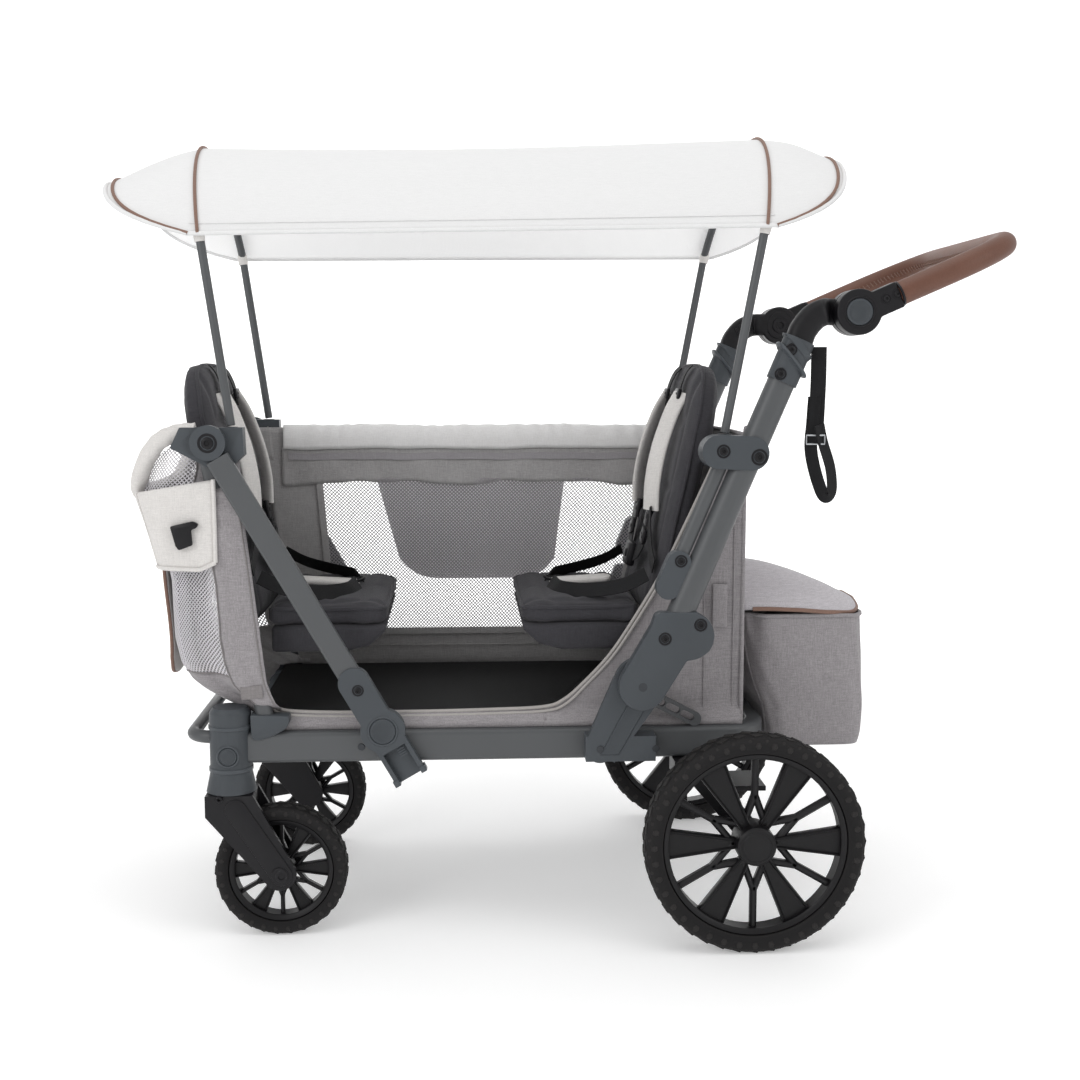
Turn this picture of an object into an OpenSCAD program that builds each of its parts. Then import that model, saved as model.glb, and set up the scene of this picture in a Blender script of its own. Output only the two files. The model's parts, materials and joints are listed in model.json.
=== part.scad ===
// Two-seat stroller wagon: folding tube frame, cloth tub with facing seats,
// canopy on four poles, swivelling front wheels and a leather push handle.
// The origin is on the floor under the middle of the wagon, +X points to the
// push handle, +Y to the closed side wall and +Z up. Left is the -Y side.

/* [Wheels] */
// Diameter of the rear wheels
rear_wheel_d = 304; // [280:1:320]
// Width of the rear tyres
rear_tyre_w = 45; // [36:1:50]
// How far the middle of a rear tyre stands out from the middle of its rail
rear_wheel_out = 102.5; // [100:0.5:125]
// Distance of the rear axle behind the origin
rear_axle_x = 258; // [245:1:270]
// Diameter of the front wheels
front_wheel_d = 186; // [160:1:190]
// Width of the front tyres
front_tyre_w = 40; // [30:1:44]
// Distance of the front axle behind its swivel axis
caster_trail = 68; // [50:1:80]

/* [Base frame] */
// How far the middle of a rail stands out from the tub's side
rail_out = 10; // [9.5:0.5:14]
// Width of a side rail
rail_w = 28; // [24:1:32]
// Height of a side rail
rail_h = 44; // [38:1:48]
// Height of the middle of the side rails
rail_z = 270; // [262:1:276]
// Place of the front swivel axis along the wagon
swivel_x = -464; // [-480:1:-455]
// Place of the rear cross tube along the wagon
rail_rear_x = 286; // [270:1:300]
// Height of the floor board's top
floor_top_z = 312; // [306:1:318]

/* [Front frame] */
// Place of the strut pivot along the wagon
strut_pivot_x = -250; // [-258:1:-242]
// Height of the strut pivot
strut_pivot_z = 296; // [292:1:300]
// Length of a front strut between its pivot and its top disc
strut_l = 462; // [450:1:474]
// Forward lean of the front struts from upright, in degrees
strut_lean = 30; // [27:0.5:33]
// Width of a front strut
strut_w = 33; // [28:1:36]
// Thickness of a front strut
strut_t = 16; // [12:1:18]

/* [Push frame] */
// Place of the fold pivot along the wagon
fold_pivot_x = 108; // [100:1:116]
// Height of the fold pivot
fold_pivot_z = 362; // [356:1:368]
// Length of a push tube
push_tube_l = 456; // [440:1:470]
// Backward lean of the push tubes from upright, in degrees
push_lean = 23; // [20:0.5:26]
// Width of a push tube
push_tube_w = 38; // [34:1:42]
// Thickness of a push tube across the wagon
push_tube_t = 32; // [28:1:34]

/* [Handle] */
// Distance from the push tube's top to the handle hinge
elbow_l = 86; // [80:1:95]
// Rise of the elbow above level, in degrees
elbow_rise = 25.5; // [20:0.5:30]
// Distance from the handle hinge to the grip's outer edge
handle_l = 274; // [250:1:300]
// Rise of the handle above level, in degrees
handle_rise = 23.5; // [15:0.5:30]
// Diameter of the leather grip
grip_d = 33; // [28:1:36]
// Bend radius of the grip's corners
grip_bend_r = 120; // [90:1:130]

/* [Canopy] */
// Diameter of the canopy poles
pole_d = 12; // [10:1:14]
// Rise of the front bow above the hem
front_bow_rise = 141; // [130:1:150]
// Rise of the rear bow above the hem
rear_bow_rise = 150; // [140:1:160]
// Height of the canopy's hem at the front bow
front_hem_z = 976; // [960:1:990]
// Height of the canopy's hem at the rear bow
rear_hem_z = 986; // [970:1:1000]
// Reach of the front visor past its bow
front_visor_l = 140; // [120:1:150]
// Reach of the rear visor past its bow
rear_visor_l = 124; // [100:1:140]
// Thickness of the canopy's cloth
canopy_t = 4; // [3:0.5:5]

/* [Tub and seats] */
// Width of the cloth tub over its side walls
tub_w = 370; // [356:1:372]
// Thickness of the tub's cloth walls
wall_t = 6; // [4:0.5:7]
// Height of the tub's top edge
tub_top_z = 705; // [690:1:715]
// Place of the rear wall along the wagon
rear_wall_x = 262; // [256:1:266]
// Depth of a seat base
seat_base_l = 190; // [170:1:200]
// Thickness of a seat base at its edge
seat_base_t = 30; // [24:1:36]
// Length of a seat back
seat_back_l = 400; // [370:1:410]
// Thickness of a seat back at its edge
seat_back_t = 32; // [26:1:38]
// Height of the seat bases' underside
seat_base_z = 430; // [420:1:440]

/* [Bag] */
// Length of the rear bag
bag_l = 192; // [180:1:200]
// Width of the rear bag
bag_w = 300; // [280:1:340]
// Height of the rear bag's floor
bag_z = 244; // [236:1:256]
// Height of the rear bag's body
bag_h = 196; // [180:1:200]

/* [Hidden] */
$fn = 48;

// Clearances and cuts
running_gap = 0.05;
seat_gap = 0.3;
layer_gap = 2;
link_relief = 0.05;
cut = 1;

// Layers outward from the rails, as distances from the middle plane
rail_y = tub_w / 2 + rail_out;
rail_out_y = rail_y + rail_w / 2;
rail_in_y = rail_y - rail_w / 2;
strut_in_y = rail_out_y + layer_gap;
strut_out_y = strut_in_y + strut_t;
link_t = 12;
link_in_y = strut_out_y + layer_gap;
link_out_y = link_in_y + link_t;
push_in_y = link_in_y + layer_gap;
push_y = push_in_y + push_tube_t / 2;
push_out_y = push_in_y + push_tube_t;
lug_in_y = link_out_y + layer_gap;
rail_top_z = rail_z + rail_h / 2;
rail_bottom_z = rail_z - rail_h / 2;

// Rails and cross tubes
rail_corner_r = 7;
rail_bend_r = 60;
cross_tube_d = 25;
front_cross_back = 62;
front_cross_x = swivel_x + front_cross_back;
middle_cross_x = -60;

// Casters
head_r = 29;
head_drop = 12;
head_bottom_z = rail_bottom_z - head_drop;
head_rise = 27;
head_top_z = rail_top_z + head_rise;
head_cap_h = 8;
head_cap_r = 24;
skirt_r = 35;
skirt_h = 28;
stem_r = 10;
stem_top_z = rail_z;
fork_gap = 1;
crown_h = 20;
crown_top_z = head_bottom_z - skirt_h - fork_gap;
fork_t = 8;
fork_clear = 4;
fork_leg_w = 46;
fork_top_w = 66;
front_axle_r = 6;
front_axle_z = front_wheel_d / 2;
front_axle_x = swivel_x + caster_trail;
bolt_head_r = 11;
bolt_head_h = 3;
fork_in_y = front_tyre_w / 2 + fork_clear;
caster_button_r = 12.5;
caster_button_h = 14;
caster_button_travel = 3;
caster_button_drop = 8;
caster_button_z = rail_z - caster_button_drop;
button_proud = 1.5;
button_gap = 0.4;

// Wheels
rear_rim_share = 0.78;
front_rim_share = 0.72;
tyre_crown = 5;
tyre_shoulder_share = 0.62;
hub_share = 0.19;
rim_lip = 9;
rim_w_share = 0.62;
spoke_t_share = 0.36;
paddle_count = 6;
paddle_root_share = 0.2;
paddle_tip_share = 0.32;
spoke_w_share = 0.09;
spoke_split_share = 0.5;
spoke_leg_share = 0.8;
hub_core_share = 0.9;
hub_cap_h = 4;
axle_end_gap = 1;
rear_axle_r = 8;
rear_axle_z = rear_wheel_d / 2;
rear_wheel_y = rail_y + rear_wheel_out;

// Front bumper bar
bumper_d = 18;
bumper_reach = 56;
bumper_rise = 14;
bumper_z = rail_z + bumper_rise;
bumper_bend_r = 32;

// Upright cups on the rails and the uprights that stand in them
upright_w = 24;
upright_t = 16;
upright_out = 5;
upright_y = rail_y + upright_out;
upright_back = 52;
upright_foot_x = swivel_x + upright_back;
cup_l = 54;
cup_wall = 3;
cup_h = 26;
cup_clear = 3;
cup_skirt_drop = 24;
head_clear = 3;
upright_foot_z = rail_top_z + cup_wall + cup_clear;

// Front frame
strut_pivot = [strut_pivot_x, strut_pivot_z];
strut_top = strut_pivot + strut_l * [-sin(strut_lean), cos(strut_lean)];
hub_r = 31;
hub_sleeve_l = 78;
hub_sleeve_w = 44;
strut_foot_s = 34;
strut_skin = 2;
hub_pin_r = 6;
hub_pin_l = 9;
hub_pin_end_y = rail_out_y + hub_pin_l;
strut_button_r = 18;
strut_button_travel = 3;
pin_end_gap = 1;
strut_button_floor_y = hub_pin_end_y + pin_end_gap;
catch_s0 = 24;
catch_s1 = 78;
catch_w = 46;
catch_wall = 6;
top_disc_r = 24;
top_disc_inset = 2;
bracket_inset = 6;
bracket_in_y = rail_in_y + bracket_inset;
bracket_shares = [[-1.65, 0.85], [1.9, 0.85], [1.95, -0.7], [0.85, -1.7], [-0.2, -1.35], [-2.2, -0.3]];
bracket_nose_shares = [-2.2, 0.3];
top_bar_d = 24;
top_bar_at = strut_top + top_disc_r * bracket_nose_shares;
pole_socket_r = 9;
front_pole_out = 1;
front_pole_y = rail_y + front_pole_out;
pole_foot_shares = [1.17, 0.88];
front_pole_foot = strut_top + [top_disc_r * pole_foot_shares[0], top_disc_r * pole_foot_shares[1]];
front_pole_lean = -8;

// Push frame
fold_pivot = [fold_pivot_x, fold_pivot_z];
push_dir = [sin(push_lean), cos(push_lean)];
push_perp = [cos(push_lean), -sin(push_lean)];
push_foot_s = 62;
push_offset = 10;
push_top_s = push_foot_s + push_tube_l;
wrap = 1.5;
wrap_in_y = push_in_y - wrap;
wrap_out_y = push_out_y + wrap;
link_disc_r = 37;
link_foot_front = 56;
link_foot = [fold_pivot_x - link_foot_front, rail_z];
link_foot_w = 40;
link_block_l = 98;
link_block_h = 36;
pivot_pin_r = 7;
lug_r = 33;
lower_s = 78;
lower_unit = push_tube_w * 2 / 3;
lower_shares = [[-1.3, -1.1], [-1.45, 0.5], [-0.9, 1.35], [1.2, 1.25], [2, 0.6], [1.8, 0.05], [2.25, -0.6],
    [1.6, -1.15]];
slim_w = 20;
slim_t = 16;
slim_offset = push_offset - push_tube_w / 2 - slim_w / 2 - layer_gap;
slim_s0 = 140;
slim_s1 = 330;
slider_l = 70;
slider_w = 34;
top_bracket_s = 352;
top_bracket_h = 46;
top_bracket_l = 92;
collar_l = 62;
collar_s0 = push_top_s - collar_l;
collar_t = 2.5;
collar_flange = 7;
collar_flange_h = 9;
collar_lip = 0.8;
collar_tilt = 28;
rear_pole_in = 5;
rear_pole_y = push_y - rear_pole_in;
rear_pole_s = 362;
rear_pole_offset = -32;
rear_pole_lean = 10.5;
rear_brace_w = 20;
rear_brace_t = 8;
rear_brace_out = 14;
brace_top_shares = [0.54, -0.76];
brace_foot_gap = 8;
brace_slots = 3;
brace_slot_share = 0.5;

// Handle
push_top = fold_pivot + push_top_s * push_dir + push_offset * push_perp;
handle_pivot = push_top + elbow_l * [cos(elbow_rise), sin(elbow_rise)];
hinge_r = 31;
elbow_w = 42;
elbow_step_in = 18;
elbow_in_y = push_in_y - elbow_step_in;
elbow_step_out = 9;
elbow_out_y = push_y - elbow_step_out;
hinge_gap = 1;
arm_in_y = elbow_out_y + hinge_gap;
arm_out_y = push_out_y;
arm_w = 36;
hinge_pin_r = 8;
hinge_pin_l = 13;
hinge_pin_end_y = elbow_out_y + hinge_pin_l;
handle_button_r = 18;
handle_button_travel = 4;
handle_button_floor_y = hinge_pin_end_y + pin_end_gap;
grip_start = 60;
grip_y = (arm_in_y + arm_out_y) / 2;
strap_w = 20;
strap_t = 3;
strap_l = 128;
strap_s = 20;
strap_loop_l = 60;
strap_loop_w = 26;

// Canopy
canopy_arch_steps = 20;
canopy_span_steps = 6;
canopy_sag = 5;
bow_slack = 2;
visor_steps = 3;
front_visor_drop = 58;
rear_visor_drop = 34;
visor_hem_reach = 14;
visor_bulge = 8;

// Tub
wall_out_y = tub_w / 2;
wall_in_y = wall_out_y - wall_t;
floor_w = 2 * (rail_in_y - seat_gap);
floor_front_x = swivel_x + head_r + head_clear;
floor_t = floor_top_z - rail_top_z;
floor_l = rear_wall_x - wall_t - floor_front_x;
mat_t = 3;
mat_w = 2 * (wall_in_y - seat_gap);
tub_low_z = floor_top_z - mat_t + seat_gap;
front_top_reach = 96;
front_top_x = swivel_x - front_top_reach;
front_waist_reach = 56;
front_waist_x = swivel_x - front_waist_reach;
front_waist_z = 520;
front_low_reach = 52;
front_low_x = swivel_x - front_low_reach;
front_low_z = 350;
toe_gap = 2;
front_toe_z = head_top_z + head_cap_h + toe_gap;
front_toe_reach = 36;
front_toe_x = swivel_x - front_toe_reach;
bar_notch = 18;
sill_h = 9;
opening_front_back = 66;
opening_front_x = swivel_x + opening_front_back;
opening_step_l = 27;
opening_step_h = 57;
opening_top_back = 6;
opening_rear_x = -24;
opening_rear_l = 238;
opening_rear_h = 340;
opening_curve_shares = [[0.12, 0.03], [0.24, 0.1], [0.4, 0.22], [0.55, 0.38], [0.7, 0.56], [0.84, 0.76],
    [1, 1]];
window_front_x = -371;
window_rear_x = 161;
window_low_front = 20;
window_low_rear = 42;
window_top_z = 620;
window_low_z = 365;
net_t = 2;
net_overlap = 8;
net_cols = 24;
net_rows = 12;
net_gap_share = 0.62;
cuff_reach = 130;
cuff_front_x = swivel_x - cuff_reach;
cuff_back_gap = 28;
cuff_low_z = 526;
cuff_h = 94;
cuff_t = 14;
cuff_corner_r = 48;
cuff_half_w = wall_out_y + seat_gap + cuff_t;
apron_w = 230;
apron_t = 5;
apron_lap = 20;
apron_h = 180;

// Seats
seat_w = 2 * (wall_in_y - net_t - seat_gap);
back_tilt = 12;
seat_crown = 9;
seat_draw = 8;
seat_channel = 4;
seat_channels = 3;
seat_cols = 20;
seat_rows = 16;
front_hinge_x = top_bar_at[0] + (seat_back_t + seat_crown + seat_gap + top_bar_d / 2
    + sin(back_tilt) * (top_bar_at[1] - seat_base_z)) / cos(back_tilt);
rear_hinge_x = 122;
pad_w = 46;
pad_l = 170;
pad_t = 9;
pad_spread = 58;
pad_rise = 160;
strap_web_w = 25;
strap_web_t = 2;
strap_web_l = 60;
buckle_l = 52;
buckle_t = 12;

// Bag
bag_wall = 4;
bag_corner_r = 40;
bag_back_lean = 6;
lid_t = 6;
lid_bead_d = 8;
lid_overhang = 8;
lid_drop = 54;
lid_rise = 66;
lid_corner_r = 40;

// Rear axle and brake
hanger_t = 18;
hanger_gap = 6;
hanger_in_y = rail_out_y + hanger_gap;
hanger_w = 34;
hanger_front = 74;
hanger_top_drop = 8;
hanger_top = [rear_axle_x - hanger_front, rail_bottom_z - hanger_top_drop];
hanger_block_l = 52;
brake_w = 90;
brake_sleeve_r = 16;
brake_pedal_l = 72;
brake_pedal_t = 8;
screw_r = 5;
screw_h = 1.5;

// Point at distance s along the push tube from the fold pivot and o across it
function on_push(s, o) = fold_pivot + s * push_dir + o * push_perp;
// Point at distance s along the front strut from its pivot and o across it
function on_strut(s, o) = strut_pivot + s * [-sin(strut_lean), cos(strut_lean)]
    + o * [cos(strut_lean), sin(strut_lean)];
function lean_of(a, b) = atan2(b[0] - a[0], b[1] - a[1]);
function share_points(at, size, shares) = [for (p = shares) at + size * p];

module both_sides() {
    children();
    mirror([0, 1, 0]) children();
}

module on_side(right) {
    if (right) mirror([0, 1, 0]) children();
    else children();
}

// Plate drawn in the side view, X right and Z up, between two distances on the left
module side_plate(y0, y1) {
    translate([0, -y0, 0]) rotate([90, 0, 0]) linear_extrude(y1 - y0) children();
}

// Straight bar from a to b in the side view, with its section drawn as across, thickness
module side_bar(a, b, y) {
    translate([a[0], -y, a[1]]) rotate([0, lean_of(a, b), 0]) linear_extrude(norm(b - a)) children();
}

module round_rect(w, h, r) {
    square([w - 2 * r, h], center = true);
    square([w, h - 2 * r], center = true);
    for (x = [-1, 1], y = [-1, 1])
        translate([x * (w / 2 - r), y * (h / 2 - r)]) circle(r);
}

// Slot shape with round ends along its first size
module stadium(l, w) {
    square([l - w, w], center = true);
    for (x = [-1, 1]) translate([x * (l - w) / 2, 0]) circle(d = w);
}

// Straight bar from a to b with square ends
module bar2d(a, b, w) {
    v = b - a;
    translate(a) rotate(atan2(v[1], v[0])) translate([0, -w / 2]) square([norm(v), w]);
}

// Bar with round ends from a to b, a hair slimmer than its ends
module link2d(a, b, w) {
    bar2d(a, b, w - 2 * link_relief);
    translate(a) circle(d = w);
    translate(b) circle(d = w);
}

module pin_y(at, r, y0, y1) {
    translate([at[0], -y0, at[1]]) rotate([90, 0, 0]) cylinder(h = y1 - y0, r = r);
}

// Room for the left caster head in the tubes that meet it
module head_cut() {
    translate([swivel_x, -rail_y, head_bottom_z]) cylinder(h = head_top_z - head_bottom_z, r = head_r);
}

module rail_section() {
    round_rect(rail_w, rail_h, rail_corner_r);
}

// One side rail, half of the bend behind it and half of the rear cross tube
module half_base() {
    run = rail_rear_x - rail_bend_r;
    difference() {
        translate([swivel_x, -rail_y, rail_z]) rotate([90, 0, 90])
            linear_extrude(run - swivel_x) rail_section();
        head_cut();
    }
    translate([run, -rail_y + rail_bend_r, rail_z]) rotate([0, 0, -90])
        rotate_extrude(angle = 90) translate([rail_bend_r, 0]) rail_section();
    half = rail_y - rail_bend_r;
    translate([rail_rear_x, -half, rail_z]) rotate([-90, 0, 0]) linear_extrude(half) rail_section();
    for (x = [front_cross_x, middle_cross_x])
        translate([x, -rail_in_y, rail_top_z - cross_tube_d / 2]) rotate([-90, 0, 0])
            cylinder(h = rail_in_y, d = cross_tube_d);
}

module base_frame() {
    color("dimgray") both_sides() half_base();
}

module bumper_bar() {
    x1 = swivel_x - bumper_reach;
    run = rail_y - bumper_bend_r;
    color("dimgray") both_sides() difference() {
        translate([0, 0, bumper_z]) {
            translate([x1 + bumper_bend_r, -rail_y, 0]) rotate([0, 90, 0])
                cylinder(h = bumper_reach - bumper_bend_r, d = bumper_d);
            translate([x1 + bumper_bend_r, -run, 0]) rotate([0, 0, 180])
                rotate_extrude(angle = 90) translate([bumper_bend_r, 0]) circle(d = bumper_d);
            translate([x1, -run, 0]) rotate([-90, 0, 0]) cylinder(h = run, d = bumper_d);
        }
        head_cut();
    }
}

module caster_heads() {
    color("slategray") both_sides() difference() {
        translate([swivel_x, -rail_y, 0]) {
            translate([0, 0, head_bottom_z]) cylinder(h = head_top_z - head_bottom_z, r = head_r);
            translate([0, 0, head_top_z]) cylinder(h = head_cap_h, r1 = head_r, r2 = head_cap_r);
            translate([0, 0, head_bottom_z - skirt_h]) cylinder(h = skirt_h, r1 = skirt_r, r2 = head_r);
        }
        translate([swivel_x, -rail_y, head_bottom_z - skirt_h - cut])
            cylinder(h = stem_top_z - head_bottom_z + skirt_h + cut, r = stem_r + running_gap);
        pin_y([swivel_x, caster_button_z], caster_button_r + button_gap,
            rail_y + head_r - caster_button_h, rail_y + head_r + cut);
    }
}

module caster_button(right) {
    y1 = rail_y + head_r + button_proud;
    y0 = rail_y + head_r - caster_button_h + caster_button_travel + button_gap;
    color("gray") on_side(right) pin_y([swivel_x, caster_button_z], caster_button_r, y0, y1);
}

// Outline of the fork's leg in the side view
module fork_leg2d() {
    top = [swivel_x, crown_top_z - crown_h / 2];
    axle = [front_axle_x, front_axle_z];
    polygon([[swivel_x - fork_top_w / 2, crown_top_z], [swivel_x + fork_top_w / 2, crown_top_z],
        axle + fork_leg_w / 2 * [cos(strut_lean), sin(strut_lean)],
        axle - fork_leg_w / 2 * [cos(strut_lean), sin(strut_lean)],
        [swivel_x - fork_top_w / 2, top[1] - crown_h]]);
    translate(axle) circle(d = fork_leg_w);
}

module caster_fork(right) {
    color("black") on_side(right) {
        difference() {
            union() {
                side_plate(rail_y + fork_in_y, rail_y + fork_in_y + fork_t) fork_leg2d();
                side_plate(rail_y - fork_in_y - fork_t, rail_y - fork_in_y) fork_leg2d();
                translate([swivel_x - fork_top_w / 2, -rail_y - fork_in_y - fork_t / 2, crown_top_z - crown_h])
                    cube([fork_top_w, 2 * fork_in_y + fork_t, crown_h]);
                translate([swivel_x, -rail_y, crown_top_z - cut])
                    cylinder(h = stem_top_z - crown_top_z - fork_gap + cut, r = stem_r);
            }
            translate([front_axle_x, -rail_y, front_axle_z]) rotate([90, 0, 0])
                cylinder(h = front_tyre_w + 2 * fork_clear, r = front_wheel_d / 2 + fork_clear, center = true);
        }
        pin_y([front_axle_x, front_axle_z], front_axle_r, rail_y - fork_in_y - cut, rail_y + fork_in_y + cut);
        pin_y([front_axle_x, front_axle_z], bolt_head_r, rail_y + fork_in_y + fork_t - cut,
            rail_y + fork_in_y + fork_t + bolt_head_h);
    }
}

// Tyre with a slightly crowned tread and sloped shoulders
module tyre(d, w, rim_share) {
    r = d / 2;
    rim = r * rim_share;
    flat = w * tyre_shoulder_share / 2;
    rotate([90, 0, 0]) rotate_extrude($fn = 96)
        polygon([[rim, -w / 2], [r - tyre_crown, -w / 2], [r, -flat], [r, flat], [r - tyre_crown, w / 2],
            [rim, w / 2]]);
}

// Outline of the broad paddles and the split spokes between them, round a core inside the hub
module spider2d(r, hub, reach) {
    spoke_w = r * spoke_w_share;
    circle(hub * hub_core_share);
    for (k = [0 : paddle_count - 1]) rotate(k * 360 / paddle_count) {
        polygon([[0, -hub * paddle_root_share], [reach, -r * paddle_tip_share / 2],
            [reach, r * paddle_tip_share / 2], [0, hub * paddle_root_share]]);
        rotate(180 / paddle_count) {
            for (s = [-1, 1])
                bar2d([hub * spoke_split_share, s * hub * spoke_split_share], [r * spoke_split_share, 0],
                    spoke_w * spoke_leg_share);
            link2d([r * spoke_split_share, 0], [reach - spoke_w / 2, 0], spoke_w);
        }
    }
}

module rim(d, w, rim_share, bore_r) {
    r = d / 2 * rim_share;
    hub = d / 2 * hub_share;
    ring_w = w * rim_w_share;
    rotate([90, 0, 0]) difference() {
        union() {
            linear_extrude(ring_w, center = true) difference() {
                circle(r, $fn = 96);
                circle(r - rim_lip, $fn = 96);
            }
            cylinder(h = w, r = hub, center = true);
            linear_extrude(w * spoke_t_share, center = true) spider2d(r, hub, r - rim_lip / 2);
        }
        cylinder(h = w + 2 * cut, r = bore_r, center = true);
    }
}

module rear_wheel_at(right) {
    on_side(right) translate([rear_axle_x, -rear_wheel_y, rear_axle_z]) children();
}

module front_wheel_at(right) {
    on_side(right) translate([front_axle_x, -rail_y, front_axle_z]) children();
}

module rear_tyre(right) {
    color("black") rear_wheel_at(right) tyre(rear_wheel_d, rear_tyre_w, rear_rim_share);
}

module rear_rim(right) {
    color("black") rear_wheel_at(right) {
        rim(rear_wheel_d, rear_tyre_w, rear_rim_share, rear_axle_r + running_gap);
        translate([0, -rear_tyre_w / 2, 0]) rotate([90, 0, 0])
            cylinder(h = hub_cap_h, r = rear_wheel_d / 2 * hub_share);
    }
}

module front_tyre(right) {
    color("black") front_wheel_at(right) tyre(front_wheel_d, front_tyre_w, front_rim_share);
}

module front_rim(right) {
    color("black") front_wheel_at(right)
        rim(front_wheel_d, front_tyre_w, front_rim_share, front_axle_r + running_gap);
}

module rear_axle() {
    color("gray") translate([rear_axle_x, 0, rear_axle_z]) rotate([90, 0, 0])
        cylinder(h = 2 * rear_wheel_y + rear_tyre_w - 2 * axle_end_gap, r = rear_axle_r, center = true);
}

// Trailing arms that carry the rear axle under the rails
module axle_hangers() {
    axle = [rear_axle_x, rear_axle_z];
    color("black") both_sides() difference() {
        union() {
            side_plate(hanger_in_y, hanger_in_y + hanger_t) link2d(hanger_top, axle, hanger_w);
            translate([hanger_top[0] - hanger_block_l / 2, -hanger_in_y - hanger_t,
                hanger_top[1] - hanger_w / 2 + layer_gap])
                cube([hanger_block_l, hanger_in_y + hanger_t - rail_in_y,
                    rail_bottom_z - hanger_top[1] + hanger_w / 2 - layer_gap]);
        }
        pin_y(axle, rear_axle_r, hanger_in_y - cut, hanger_in_y + hanger_t + cut);
        translate([hanger_top[0] - hanger_block_l, -rail_out_y - hanger_t - hanger_in_y, rail_bottom_z])
            cube([2 * hanger_block_l, 2 * hanger_in_y, rail_h]);
    }
}

module brake_pedal() {
    color("black") translate([rear_axle_x, 0, rear_axle_z]) difference() {
        union() {
            rotate([90, 0, 0]) cylinder(h = brake_w, r = brake_sleeve_r, center = true);
            translate([0, -brake_w / 2, -brake_pedal_t / 2]) cube([brake_pedal_l, brake_w, brake_pedal_t]);
        }
        rotate([90, 0, 0]) cylinder(h = brake_w + 2 * cut, r = rear_axle_r + running_gap, center = true);
    }
}

// Cups on the rails that the front uprights stand in
module upright_cups() {
    x0 = floor_front_x;
    y0 = upright_y - upright_t / 2 - cup_clear - cup_wall;
    y1 = rail_out_y + cup_wall;
    top_z = rail_top_z + cup_h;
    color("slategray") both_sides() difference() {
        union() {
            translate([x0, -y1, rail_top_z]) cube([cup_l, y1 - y0, cup_h]);
            side_plate(rail_out_y, y1)
                polygon([[x0, top_z], [x0 + cup_l, top_z], [x0 + cup_l * 3 / 4, rail_top_z],
                    [x0 + cup_l / 4, rail_top_z - cup_skirt_drop], [x0, rail_top_z - cup_skirt_drop / 2]]);
        }
        translate([x0 + cup_wall, -upright_y - upright_t / 2 - cup_clear, rail_top_z + cup_wall])
            cube([cup_l - 2 * cup_wall, upright_t + 2 * cup_clear, cup_h]);
    }
}

// Outline of the fixed fold link: a sloping plate with a round head
module fold_link2d() {
    a = link_foot;
    w = link_foot_w / 2;
    polygon([a + [-w, w / 2], a + [w, -w], fold_pivot + [link_disc_r, -link_disc_r / 4],
        fold_pivot + [-link_disc_r, link_disc_r / 4]]);
    translate(fold_pivot) circle(link_disc_r);
    translate(a) circle(w);
}

module fold_links() {
    color("slategray") both_sides() difference() {
        union() {
            side_plate(link_in_y, link_out_y) fold_link2d();
            translate([link_foot[0] - link_foot_w / 2, -link_out_y, rail_z - link_block_h / 2])
                cube([link_block_l, link_out_y - rail_out_y, link_block_h]);
        }
        pin_y(fold_pivot, pivot_pin_r, link_in_y - cut, link_out_y + cut);
    }
}

// Slotted braces that lean from the rails up to the fold pivots
module rear_braces() {
    a = fold_pivot + link_disc_r * brace_top_shares;
    b = [rear_axle_x - rail_bend_r - brace_foot_gap, rail_top_z + rear_brace_w / 2];
    step = (b - a) / brace_slots;
    y0 = rail_in_y + rear_brace_out;
    color("darkslategray") both_sides() side_plate(y0, y0 + rear_brace_t) difference() {
        link2d(a, b, rear_brace_w);
        for (k = [0 : brace_slots - 1])
            link2d(a + (k + brace_slot_share / 2) * step, a + (k + 1 - brace_slot_share / 2) * step,
                rear_brace_w * brace_slot_share);
    }
}

module pivot_pins() {
    color("silver") both_sides() {
        pin_y(strut_pivot, hub_pin_r, rail_out_y, hub_pin_end_y);
        pin_y(fold_pivot, pivot_pin_r, link_in_y, wrap_out_y);
    }
}

module screw_head(at, y) {
    pin_y(at, screw_r, y, y + screw_h);
}

module frame_screws() {
    color("black") both_sides() {
        screw_head(link_foot, link_out_y);
        screw_head([link_foot[0] + link_block_l - link_foot_w / 2, rail_z], link_out_y);
        screw_head([strut_pivot_x - hub_r, rail_z], rail_out_y);
        screw_head(hanger_top, hanger_in_y + hanger_t);
    }
}

// Board between the rails with a raised mat between the walls
module floor_board() {
    color("black") translate([floor_front_x, 0, rail_top_z]) {
        translate([0, -floor_w / 2, 0]) cube([floor_l, floor_w, floor_t - mat_t]);
        translate([0, -mat_w / 2, 0]) cube([floor_l, mat_w, floor_t]);
    }
}

// Front frame

module front_strut_solid() {
    side_bar(on_strut(strut_foot_s, 0), on_strut(strut_l - top_disc_r, 0), strut_in_y + strut_t / 2)
        round_rect(strut_w, strut_t - 2 * strut_skin, strut_t / 4);
}

module front_struts() {
    color("dimgray") both_sides() front_strut_solid();
}

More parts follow.
